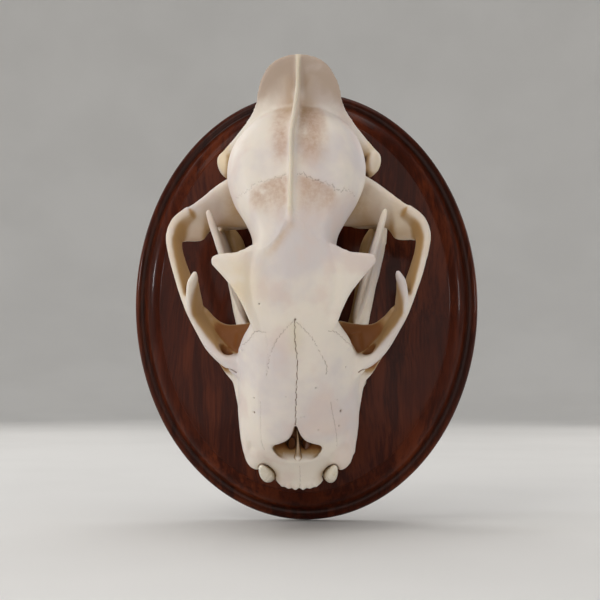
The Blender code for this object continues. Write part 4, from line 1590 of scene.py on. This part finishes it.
@dataclass(frozen=True)
class BoneFinish(Finish):
    """Dry, cleaned bone: ivory with grey and pink patches; where it is closed in, tan and darker painted
    shade, partly its own stain.
    """

    name: str = "dry_bone"
    ivory: Row = (0.81, 0.735, 0.645, 1)
    grey: Row = (0.67, 0.605, 0.585, 1)
    pink: Row = (0.70, 0.56, 0.50, 1)
    stain: Row = (0.51, 0.33, 0.23, 1)
    # The darker back of the head, partly its own tone and partly painted shade
    nape: Row = (0.49, 0.385, 0.31, 1)
    yellow: Row = (0.74, 0.58, 0.35, 1)
    cream: Row = (0.73, 0.645, 0.50, 1)
    # Painted shade where the bone is closed in: tan and amber also stand for bounce light from the board
    # and partly for its own stain, the last colour only for deep shadow
    tan: Row = (0.42, 0.255, 0.105, 1)
    amber: Row = (0.235, 0.085, 0.022, 1)
    shadow_brown: Row = (0.075, 0.024, 0.008, 1)
    # Dark joints of the bones, and painted shade in the pits and slits
    seam: Row = (0.16, 0.085, 0.045, 1)

    def build(self, patches: bpy.types.NodeTree, pores: bpy.types.NodeTree) -> bpy.types.Material:
        """Makes the material.

        Args:
            patches: The group of soft patches.
            pores: The group of fine pores.

        Returns:
            The material.
        """
        material, nodes, shader, place = self.start()

        def cloud(scale: float, low: float, high: float) -> Any:
            """Adds soft patches of one size."""
            inputs = {"Place": place, "Scale": scale, "Low": low, "High": high}
            return nodes.add("Group", inputs, node_tree=patches).outputs[0]

        colour = nodes.mix(cloud(26, 0.42, 0.66), self.ivory, self.grey)
        colour = nodes.mix(nodes.math("MULTIPLY", cloud(48, 0.48, 0.68), 0.5), colour, self.pink)
        # The darker back of the head, partly painted shade
        cloudy = nodes.math("MULTIPLY", nodes.mask("grey"), cloud(60, 0.15, 0.5))
        colour = nodes.mix(cloudy, colour, self.nape)
        grit = nodes.span(nodes.noise(place, 430, 3, 0.7), 0.32, 0.66, 0.62, 1.0)
        # Stains, partly painted shade beside the crest and at one root
        stained = nodes.math("MULTIPLY", nodes.mask("stain"), cloud(110, 0.18, 0.46))
        stained = nodes.math("MULTIPLY", stained, grit)
        colour = nodes.mix(stained, colour, self.stain)
        yellowed = nodes.math("MULTIPLY", nodes.mask("yellow"), cloud(70, 0.2, 0.6))
        colour = nodes.mix(nodes.math("MULTIPLY", yellowed, 0.8), colour, self.yellow)
        colour = nodes.mix(nodes.math("MULTIPLY", nodes.mask("cream"), 0.8), colour, self.cream)
        # Painted shade from how closed in the bone is and from its inner faces: tan, amber, then near-black
        # deep shadow
        closed = nodes.mask("recess_shade")
        inside = nodes.mask("inside")
        stain_and_shade_share = nodes.math("MAXIMUM", nodes.span(closed, 0.18, 0.5, 0, 0.85), nodes.span(inside, 0, 0.7))
        colour = nodes.mix(stain_and_shade_share, colour, self.tan)
        colour = nodes.mix(nodes.span(inside, 0.66, 0.98), colour, self.amber)
        colour = nodes.mix(nodes.span(closed, 0.48, 0.74, 0, 0.97), colour, self.shadow_brown)
        small = nodes.add("Group", {"Place": place, "Scale": 620, "Size": 0.2}, node_tree=pores)
        rough_parts = nodes.math("ADD", nodes.mask("stain"), nodes.mask("grey"), clamp=True)
        rough_parts = nodes.math("ADD", nodes.math("MULTIPLY", rough_parts, 0.5), 0.12)
        pored = nodes.math("MULTIPLY", small.outputs[0], rough_parts)
        pored = nodes.math("MULTIPLY", pored, cloud(90, 0.45, 0.65))
        colour = nodes.mix(nodes.math("MULTIPLY", pored, 0.8), colour, self.stain)
        # Dark joints, and painted shade in the pits and slits
        colour = nodes.mix(nodes.span(nodes.mask("seam"), 0.12, 0.75), colour, self.seam)
        tree = material.node_tree
        tree.links.new(colour, shader.inputs["Base Color"])
        rough = nodes.span(nodes.noise(place, 60), 0.3, 0.7, 0.42, 0.58)
        tree.links.new(rough, shader.inputs["Roughness"])
        shader.inputs["Specular IOR Level"].default_value = 0.25
        shader.inputs["Subsurface Weight"].default_value = 0.12
        shader.inputs["Subsurface Radius"].default_value = (1.0, 0.6, 0.35)
        shader.inputs["Subsurface Scale"].default_value = 0.003
        stretched = nodes.add("Mapping", {"Vector": place, "Scale": (1.0, 1.0, 0.22)}).outputs[0]
        height = nodes.math("MULTIPLY", nodes.noise(place, 260, 5), 0.55)
        height = nodes.math("ADD", height, nodes.math("MULTIPLY", nodes.noise(stretched, 900, 2), 0.3))
        height = nodes.math("SUBTRACT", height, nodes.math("MULTIPLY", pored, 1.2))
        bump = nodes.add("Bump", {"Strength": 0.35, "Distance": 0.0005, "Height": height})
        tree.links.new(bump.outputs[0], shader.inputs["Normal"])
        return material


@dataclass(frozen=True)
class EnamelFinish(Finish):
    """Tooth enamel: ivory white and smooth, darker towards its root and between teeth, where shade is
    painted by how closed in it is.
    """

    name: str = "tooth_enamel"
    white: Row = (0.79, 0.73, 0.61, 1)
    warm: Row = (0.66, 0.54, 0.36, 1)
    # Painted shade where the tooth is most closed in, partly the root's own darker tone
    root: Row = (0.42, 0.27, 0.13, 1)

    def build(self, patches: bpy.types.NodeTree) -> bpy.types.Material:
        """Makes the material.

        Args:
            patches: The group of soft patches.

        Returns:
            The material.
        """
        material, nodes, shader, place = self.start()
        inputs = {"Place": place, "Scale": 130.0, "Low": 0.4, "High": 0.7}
        cloud = nodes.add("Group", inputs, node_tree=patches).outputs[0]
        colour = nodes.mix(nodes.math("MULTIPLY", cloud, 0.5), self.white, self.warm)
        # Painted shade where the tooth is closed in, partly the root's own darker tone
        closed = nodes.mask("recess_shade")
        colour = nodes.mix(nodes.span(closed, 0.30, 0.60, 0, 0.7), colour, self.warm)
        colour = nodes.mix(nodes.span(closed, 0.52, 0.82), colour, self.root)
        stretched = nodes.add("Mapping", {"Vector": place, "Scale": (1.0, 0.12, 1.0)}).outputs[0]
        cracks = nodes.span(nodes.noise(stretched, 700, 3), 0.62, 0.7, 0, 0.35)
        colour = nodes.mix(cracks, colour, self.warm)
        tree = material.node_tree
        tree.links.new(colour, shader.inputs["Base Color"])
        rough = nodes.span(nodes.noise(place, 240), 0.3, 0.7, 0.2, 0.34)
        tree.links.new(rough, shader.inputs["Roughness"])
        shader.inputs["Subsurface Weight"].default_value = 0.15
        shader.inputs["Subsurface Radius"].default_value = (1.0, 0.7, 0.45)
        shader.inputs["Subsurface Scale"].default_value = 0.002
        shader.inputs["Coat Weight"].default_value = 0.25
        shader.inputs["Coat Roughness"].default_value = 0.15
        height = nodes.noise(stretched, 500, 3)
        bump = nodes.add("Bump", {"Strength": 0.12, "Distance": 0.0003, "Height": height})
        tree.links.new(bump.outputs[0], shader.inputs["Normal"])
        return material


@dataclass(frozen=True)
class MahoganyFinish(Finish):
    """Dark stained mahogany under lacquer, its grain up the board."""

    name: str = "lacquered_mahogany"
    plain: Row = (0.12, 0.03, 0.015)
    dark: Row = (0.029, 0.0052, 0.0019, 1)
    mid: Row = (0.064, 0.0108, 0.0035, 1)
    light: Row = (0.125, 0.026, 0.0075, 1)
    pore: Row = (0.008, 0.003, 0.002, 1)

    def build(self, patches: bpy.types.NodeTree, pores: bpy.types.NodeTree) -> bpy.types.Material:
        """Makes the material.

        Args:
            patches: The group of soft patches.
            pores: The group of fine pores.

        Returns:
            The material.
        """
        material, nodes, shader, place = self.start()
        sway = nodes.add("TexNoise", {"Vector": place, "Scale": 9.0, "Detail": 2.0})
        swing = nodes.add("VectorMath", {0: sway.outputs["Color"], "Scale": 0.03}, operation="SCALE")
        bent = nodes.add("VectorMath", {0: place, 1: swing.outputs[0]}, operation="ADD").outputs[0]
        grain = nodes.add("Mapping", {"Vector": bent, "Scale": (1.0, 1.0, 0.06)}).outputs[0]
        broad = nodes.noise(grain, 70, 4, 0.6)
        fine = nodes.noise(grain, 420, 4, 0.65)
        figure = nodes.add("Mapping", {"Vector": bent, "Scale": (1.0, 1.0, 0.45)}).outputs[0]
        cloud = nodes.add(
            "Group", {"Place": figure, "Scale": 24.0, "Low": 0.32, "High": 0.68}, node_tree=patches
        ).outputs[0]
        streak = nodes.math("ADD", nodes.math("MULTIPLY", broad, 0.6), nodes.math("MULTIPLY", fine, 0.4))
        streak = nodes.span(streak, 0.34, 0.66)
        colour = nodes.mix(streak, self.dark, self.mid)
        lit = nodes.math("MULTIPLY", cloud, nodes.span(streak, 0.25, 0.95))
        colour = nodes.mix(nodes.math("MULTIPLY", lit, 0.75), colour, self.light)
        thin = nodes.add("Mapping", {"Vector": bent, "Scale": (1.0, 1.0, 0.05)}).outputs[0]
        dots = nodes.add("Group", {"Place": thin, "Scale": 900.0, "Size": 0.34}, node_tree=pores).outputs[0]
        colour = nodes.mix(nodes.math("MULTIPLY", dots, 0.35), colour, self.pore)
        # Painted shade along the moulding's groove
        colour = nodes.mix(nodes.math("MULTIPLY", nodes.mask("recess_shade"), 0.7), colour, self.pore)
        tree = material.node_tree
        tree.links.new(colour, shader.inputs["Base Color"])
        rough = nodes.span(nodes.noise(place, 40), 0.3, 0.7, 0.30, 0.42)
        tree.links.new(rough, shader.inputs["Roughness"])
        shader.inputs["Specular IOR Level"].default_value = 0.04
        shader.inputs["Coat Weight"].default_value = 0.1
        shader.inputs["Coat Roughness"].default_value = 0.1
        height = nodes.math("SUBTRACT", nodes.math("MULTIPLY", fine, 0.4), dots)
        bump = nodes.add("Bump", {"Strength": 0.25, "Distance": 0.0002, "Height": height})
        tree.links.new(bump.outputs[0], shader.inputs["Normal"])
        return material


@dataclass(frozen=True)
class PlainFinish(Finish):
    """The studio floor: pale and matt, with a faint unevenness."""

    name: str = "pale_floor"
    plain: Row = (0.78, 0.77, 0.75)
    shade: Row = (0.74, 0.73, 0.71, 1)

    def build(self) -> bpy.types.Material:
        """Makes the material."""
        material, nodes, shader, place = self.start()
        cloud = nodes.span(nodes.noise(place, 3), 0.35, 0.65)
        colour = nodes.mix(cloud, (*self.plain, 1), self.shade)
        material.node_tree.links.new(colour, shader.inputs["Base Color"])
        shader.inputs["Roughness"].default_value = 0.85
        return material


@dataclass
class Studio:
    """The floor, which curves up to a rim all round, the lights and the camera."""

    floor_z: float = -0.1275
    floor_radius: float = 1.7
    rise_radius: float = 1.0
    wall_top: float = 2.6
    rim_points: int = 96
    focal: float = 1170.0
    frame_pixels: float = 600.0
    distance: float = 0.700
    yaw: float = 3.4
    pitch: float = 3.8
    target: Row = (-0.0034, 0.0, 0.0024)
    # Name, place, what it points at, size, power and colour of each soft light
    lights: tuple[Any, ...] = (
        ("key", (-0.6, -1.0, 1.0), (0, -0.06, 0), 0.6, 4.4, (1.0, 0.975, 0.94)),
        ("front", (-0.1, -1.5, 0.1), (0, -0.06, 0), 0.9, 4.2, (1.0, 0.975, 0.95)),
        ("top", (0, 0.1, 2.2), (0, 0.1, 0), 2.2, 22.0, (1.0, 0.99, 0.97)),
        ("left_strip", (-1.1, -0.2, 0.2), (0, -0.02, 0), 0.12, 2.8, (0.93, 0.95, 1.0)),
        ("right_strip", (1.1, -0.2, 0.1), (0, -0.02, 0), 0.16, 1.4, (0.95, 0.96, 1.0)),
        ("back_left", (-0.8, 1.0, 0.6), (0, -0.04, 0), 0.7, 2.8, (1.0, 0.98, 0.96)),
        ("back_right", (0.8, 1.0, 0.4), (0, -0.04, 0), 0.7, 2.2, (1.0, 0.98, 0.96)),
    )
    world_colour: Row = (0.95, 0.96, 1.0, 1)
    world_strength: float = 0.19

    def build(self) -> None:
        """Makes the whole studio."""
        self.floor()
        self.light()
        self.camera()

    def floor(self) -> Thing:
        """Draws the floor out from a disc, up to its rim.

        Returns:
            The floor.
        """
        bpy.ops.mesh.primitive_circle_add(
            vertices=self.rim_points, radius=self.floor_radius, fill_type="NGON",
            location=(0, 0, self.floor_z),
        )
        floor = bpy.context.object
        floor.name = "floor"
        settle(floor)
        edit_faces(floor, lambda face: True)
        bpy.ops.mesh.inset(thickness=0.02, depth=0)
        edit_faces(floor, lambda face: True)
        bpy.ops.mesh.region_to_loop()
        reach, level = self.floor_radius, self.floor_z
        bends = [math.radians(90) * k / 12 for k in range(1, 13)]
        turns = [(math.sin(bend), 1 - math.cos(bend)) for bend in bends]
        path = [(reach + self.rise_radius * out, level + self.rise_radius * up)
                for out, up in turns]
        path.append((path[-1][0], self.wall_top))
        for out, up in path:
            bpy.ops.mesh.extrude_edges_move(TRANSFORM_OT_translate={"value": (0, 0, up - level)})
            bpy.ops.transform.resize(value=(out / reach, out / reach, 1))
            reach, level = out, up
        turn_outwards(inside=True)
        floor.data.shade_smooth()
        floor.data.materials.append(PlainFinish().build())
        return floor

    def light(self) -> None:
        """Adds the soft lights and the pale surroundings."""
        for name, place, aim, size, power, colour in self.lights:
            bpy.ops.object.light_add(type="AREA", location=place)
            lamp = bpy.context.object
            lamp.name = "light_" + name
            lamp.rotation_euler = (Vector(aim) - Vector(place)).to_track_quat("-Z", "Y").to_euler()
            lamp.data.shape = "SQUARE"
            lamp.data.size = size
            lamp.data.energy = power
            lamp.data.color = colour
        world = bpy.data.worlds.new("surroundings")
        world.use_nodes = True
        back = world.node_tree.nodes["Background"]
        back.inputs["Color"].default_value = self.world_colour
        back.inputs["Strength"].default_value = self.world_strength
        bpy.context.scene.world = world

    def camera(self) -> Thing:
        """Sets the camera at the photograph's angle.

        Returns:
            The camera.
        """
        yaw, pitch = math.radians(self.yaw), math.radians(self.pitch)
        ahead = Vector(
            (-math.sin(yaw) * math.cos(pitch), math.cos(yaw) * math.cos(pitch), math.sin(pitch))
        )
        right = ahead.cross(Vector((0, 0, 1))).normalized()
        upward = right.cross(ahead)
        place = Vector(self.target) - ahead * self.distance
        bpy.ops.object.camera_add()
        camera = bpy.context.object
        camera.name = "photo_camera"
        camera.data.sensor_width = 36.0
        camera.data.lens = camera.data.sensor_width * self.focal / self.frame_pixels
        camera.data.clip_start = 0.01
        rows = [(right[i], upward[i], -ahead[i], place[i]) for i in range(3)]
        camera.matrix_world = Matrix((*rows, (0, 0, 0, 1)))
        bpy.context.scene.camera = camera
        return camera


NASAL_SEAMS: tuple[Seam, ...] = (
    Seam(
        path=((1.1, 98.4, -15.9), (0.8, 96.3, -21.3), (0.9, 94.5, -26), (1.5, 91.6, -33),
              (1.8, 89.5, -39), (1.1, 86.5, -47.2), (0.7, 83.2, -55.3), (0.3, 81, -61),
              (0.2, 78.8, -65.5), (0.1, 76.8, -68.5)),
        width=0.24, depth=0.7, wander=0.2, pitch=4.6, tone=0.8,
    ),
    Seam(
        path=((0.3, 98.3, -16.3), (-2.6, 97.4, -18.8), (-7.2, 94.7, -23.7), (-9.6, 92.6, -27.4),
              (-12.2, 89.5, -33), (-13.2, 87.6, -38), (-14.2, 85.5, -43)),
        width=0.26, depth=0.22, wander=0.2, tone=0.5,
    ),
    Seam(
        path=((1.9, 98.2, -16.3), (5, 96.8, -19.4), (9.3, 94, -24.2), (12.2, 90.8, -29.6),
              (15.2, 87.6, -35.4), (16.4, 85.9, -38.6), (16.2, 84.9, -42.5)),
        width=0.26, depth=0.22, wander=0.2, tone=0.55,
    ),
    Seam(
        path=((18.2, 77.7, -56.4), (18.8, 74.6, -61.8), (19.8, 71, -67.4), (20.8, 66, -75),
              (20.8, 61.8, -80.2)),
        width=0.26, depth=0.2, wander=0.14, tone=0.5,
    ),
    Seam(
        path=((-18, 78, -56), (-18.2, 74.6, -63), (-18.4, 70, -71), (-18.3, 65.1, -78.6),
              (-17.2, 62.6, -81.8)),
        width=0.26, depth=0.2, wander=0.14, tone=0.4,
    ),
    Seam(
        path=((-13.8, 93.1, -22.5), (-13.2, 90.6, -29), (-13.2, 88, -36), (-14.2, 85.6, -42.1)),
        width=0.26, depth=0.14, wander=0.3, tone=0.3,
    ),
    Seam(
        path=((-13.8, 93.7, -21.6), (-17.9, 92.5, -20.6), (-20.6, 90, -21.6), (-22.6, 87, -24),
              (-25, 83, -26), (-28, 77, -27.8)),
        width=0.26, depth=0.24, wander=0.24, tone=0.5,
    ),
    Seam(
        path=((17.4, 92.4, -20.2), (21, 89.6, -21), (24.1, 85, -23.4), (26.4, 80.6, -25.8),
              (29, 75, -27.6)),
        width=0.26, depth=0.24, wander=0.24, tone=0.5,
    ),
    Seam(
        path=((0.8, 53.5, -89.5), (0.7, 51.2, -94), (0.6, 48.2, -98.6), (0.5, 45.5, -102)),
        width=0.26, depth=0.3, wander=0.1, tone=0.45,
    ),
)
CROWN_SEAMS: tuple[Seam, ...] = (
    Seam(
        path=((-3.2, 101.7, 57.2), (-6.4, 101, 56), (-11.3, 100.3, 54.9), (-15.4, 99.4, 54),
              (-19.4, 98.6, 52.8), (-22.6, 97.4, 50), (-26, 94, 49), (-29.5, 86, 47.5)),
        width=0.3, depth=0.22, wander=0.55, pitch=4.2, tone=0.42,
    ),
    Seam(
        path=((2.6, 101.6, 58), (6, 100.8, 57.4), (8.6, 100.6, 55.6), (11.2, 100.3, 54.4),
              (14.4, 99.8, 53.6), (18.6, 99, 52.4), (22.8, 97.3, 49.4), (27, 93.5, 50.5),
              (30.5, 85, 48.5)),
        width=0.3, depth=0.22, wander=0.6, pitch=4.0, tone=0.5,
    ),
    Seam(
        path=((-0.9, 106, 40), (-2.2, 105, 36.5), (-4.2, 104.7, 31.6), (-7.4, 104.4, 26),
              (-12, 103.6, 21.4), (-18.2, 101.3, 18.9), (-26, 99, 19)),
        width=1.1, depth=-0.3, wander=0.2, pitch=9, tone=0.0,
    ),
    Seam(
        path=((-0.4, 106.4, 40), (2.6, 104.6, 36.5), (5.8, 104.3, 32), (9.4, 103.7, 27.6),
              (14, 102.6, 23.6), (20, 100, 21), (27, 98.6, 20)),
        width=1.1, depth=-0.3, wander=0.2, pitch=9, tone=0.0,
    ),
)
# The slit over the nerve's way at the root of each arch, pressed in and painted dark as its shadow
SHADOW_SLITS: tuple[Seam, ...] = (
    Seam(path=((-38.6, 58, -39.2), (-36.6, 65, -39.4), (-34.4, 67.4, -40.2), (-32, 68.2, -41.6)),
         width=0.6, depth=1.0, wander=0.1, tone=0.7),
    Seam(path=((32.6, 67.6, -41.2), (34.6, 67, -40.2), (36.4, 64, -39.4), (38, 57, -39.2)),
         width=0.6, depth=1.0, wander=0.1, tone=0.8),
)
CHEEK_SEAM: tuple[Row, ...] = (
    (47, 66, -27), (51, 60, -20), (56.5, 55, -6), (61.5, 52, 6), (66, 53, 20), (68.5, 56, 27),
)
PITS: tuple[Pit, ...] = (
    Pit((1.1, 98.6, -15.2), 0.6, 1.1), Pit((-21.5, 75.9, -54.4), 0.45), Pit((-21.9, 72, -62), 0.6),
    Pit((23.2, 70.8, -61.2), 0.85, 0.9, 0.75), Pit((22.1, 68.4, -69), 0.55, 0.6, 0.6),
    Pit((10.8, 83.9, -49.2), 0.5, 0.6, 0.7), Pit((2.9, 78.8, -64.5), 0.4, 0.6, 0.6),
    Pit((4.6, 78.6, -64), 0.35, 0.5, 0.5), Pit((25.9, 76.4, -38.5), 0.5, 0.7, 0.7),
    Pit((-16.8, 99.2, -7.4), 0.55, 0.6, 0.7), Pit((-4.4, 83.6, -53.8), 0.35, 0.5, 0.5),
    Pit((11.4, 73.4, -70.8), 0.5, 0.6, 0.5), Pit((-27.8, 77, -29.4), 0.8, 1.2),
    Pit((29.8, 73, -29.4), 0.8, 1.2), Pit((21.8, 76, -55.5), 0.35, 0.5, 0.5),
)
CHIN_PITS: tuple[Row, ...] = ((19.8, 14, -74), (22.4, 15, -64), (24.8, 13, -57))
UPPER_CHEEK: tuple[Any, ...] = (
    (25.8, -71.6, 5.6, 4.6, 43, ((0, 37, 0.9),)),
    (28.4, -58.5, 17.5, 7.6, 43.5, ((-0.06, 31.5, 0.56), (0.7, 37.5, 0.32), (-0.74, 38.5, 0.26))),
    (32.4, -37, 25.5, 7.8, 44, ((-0.66, 36, 0.32), (-0.1, 29.6, 0.42), (0.6, 34, 0.4))),
    (28.4, -21.6, 4.6, 8.4, 45, ((0, 40.5, 0.9),)),
)
LOWER_CHEEK: tuple[Any, ...] = (
    (20.2, -58, 12, 5.6, 28, ((0, 37, 0.6), (0.72, 32, 0.28), (-0.72, 32, 0.28))),
    (22.6, -43.6, 16.5, 6.2, 28, ((0, 39.6, 0.54), (0.72, 33.5, 0.3), (-0.74, 33.5, 0.28))),
    (24.4, -25, 19, 6.2, 28.5, ((-0.48, 40, 0.5), (0.46, 41, 0.52))),
)
UPPER_FRONT: tuple[Row, ...] = ((2.7, -100.2, 1.0), (6.4, -99.8, 1.1), (9.7, -98.6, 1.25))
LOWER_FRONT: tuple[Row, ...] = ((1.9, -96.2, 0.85), (4.9, -95.8, 0.95), (7.8, -94.8, 1.05))
UPPER_GUM = 42.0
LOWER_GUM = 31.5


def make_bones() -> list[Assembly]:
    """Sets up the cranium and the two halves of the lower jaw.

    Returns:
        The bones, not yet built.
    """
    cheeks = tuple(
        Seam(path=tuple((side * x, h, z) for x, h, z in CHEEK_SEAM), width=0.3, depth=0.25, tone=0.5)
        for side in (-1, 1)
    )
    made: list[Assembly] = [
        Cranium(node="cranium", seams=NASAL_SEAMS + CROWN_SEAMS + SHADOW_SLITS + cheeks, pits=PITS)
    ]
    for side in Side:
        node = "jaw_" + side.name.lower()
        pits = tuple(Pit((side.value * x, h, z), 0.9, 1.2) for x, h, z in CHIN_PITS)
        made.append(LowerJaw(node=node, name=node + "_bone", side=side, pits=pits, reach=24))
    return made


def make_teeth() -> list[Assembly]:
    """Sets up the teeth of both jaws.

    Returns:
        The teeth of each side of each jaw, not yet built.
    """
    made: list[Assembly] = []
    for side in Side:
        made.append(Teeth(
            node="cranium", jaw=Jaw.UPPER, side=side, canine=UPPER_CANINE, cheek=UPPER_CHEEK,
            front=UPPER_FRONT, gum=UPPER_GUM,
        ))
        made.append(Teeth(
            node="jaw_" + side.name.lower(), jaw=Jaw.LOWER, side=side, canine=LOWER_CANINE,
            cheek=LOWER_CHEEK, front=LOWER_FRONT, gum=LOWER_GUM,
        ))
    return made


def main() -> None:
    """Builds the skull, its teeth, the plaque and the studio, in that order."""
    logging.basicConfig(level=logging.INFO, format="%(name)s: %(message)s")
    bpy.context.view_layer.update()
    bpy.context.scene.view_settings.view_transform = "Standard"
    patches, pores = patches_group(), pores_group()
    bone_finish = BoneFinish().build(patches, pores)
    enamel_finish = EnamelFinish().build(patches)
    wood_finish = MahoganyFinish().build(patches, pores)
    bones, teeth = make_bones(), make_teeth()
    nose, board = NoseInside(node="cranium"), Plaque(node="plaque")
    for assembly in bones + teeth + [nose, board]:
        assembly.build()
    surface = surface_of([piece for assembly in bones + [board] for piece in assembly.made])
    for assembly in bones + teeth + [nose]:
        assembly.shade(surface)
    for assembly in bones + [nose]:
        assembly.dress(bone_finish)
    for assembly in teeth:
        assembly.dress(enamel_finish)
    board.dress(wood_finish)
    for assembly in bones + teeth + [nose, board]:
        for piece in assembly.made:
            count = sum(len(face.vertices) - 2 for face in piece.data.polygons)
            LOG.info("%s for %s: %d triangles", piece.name, assembly.node, count)
    Studio().build()


if __name__ == "__main__":
    main()
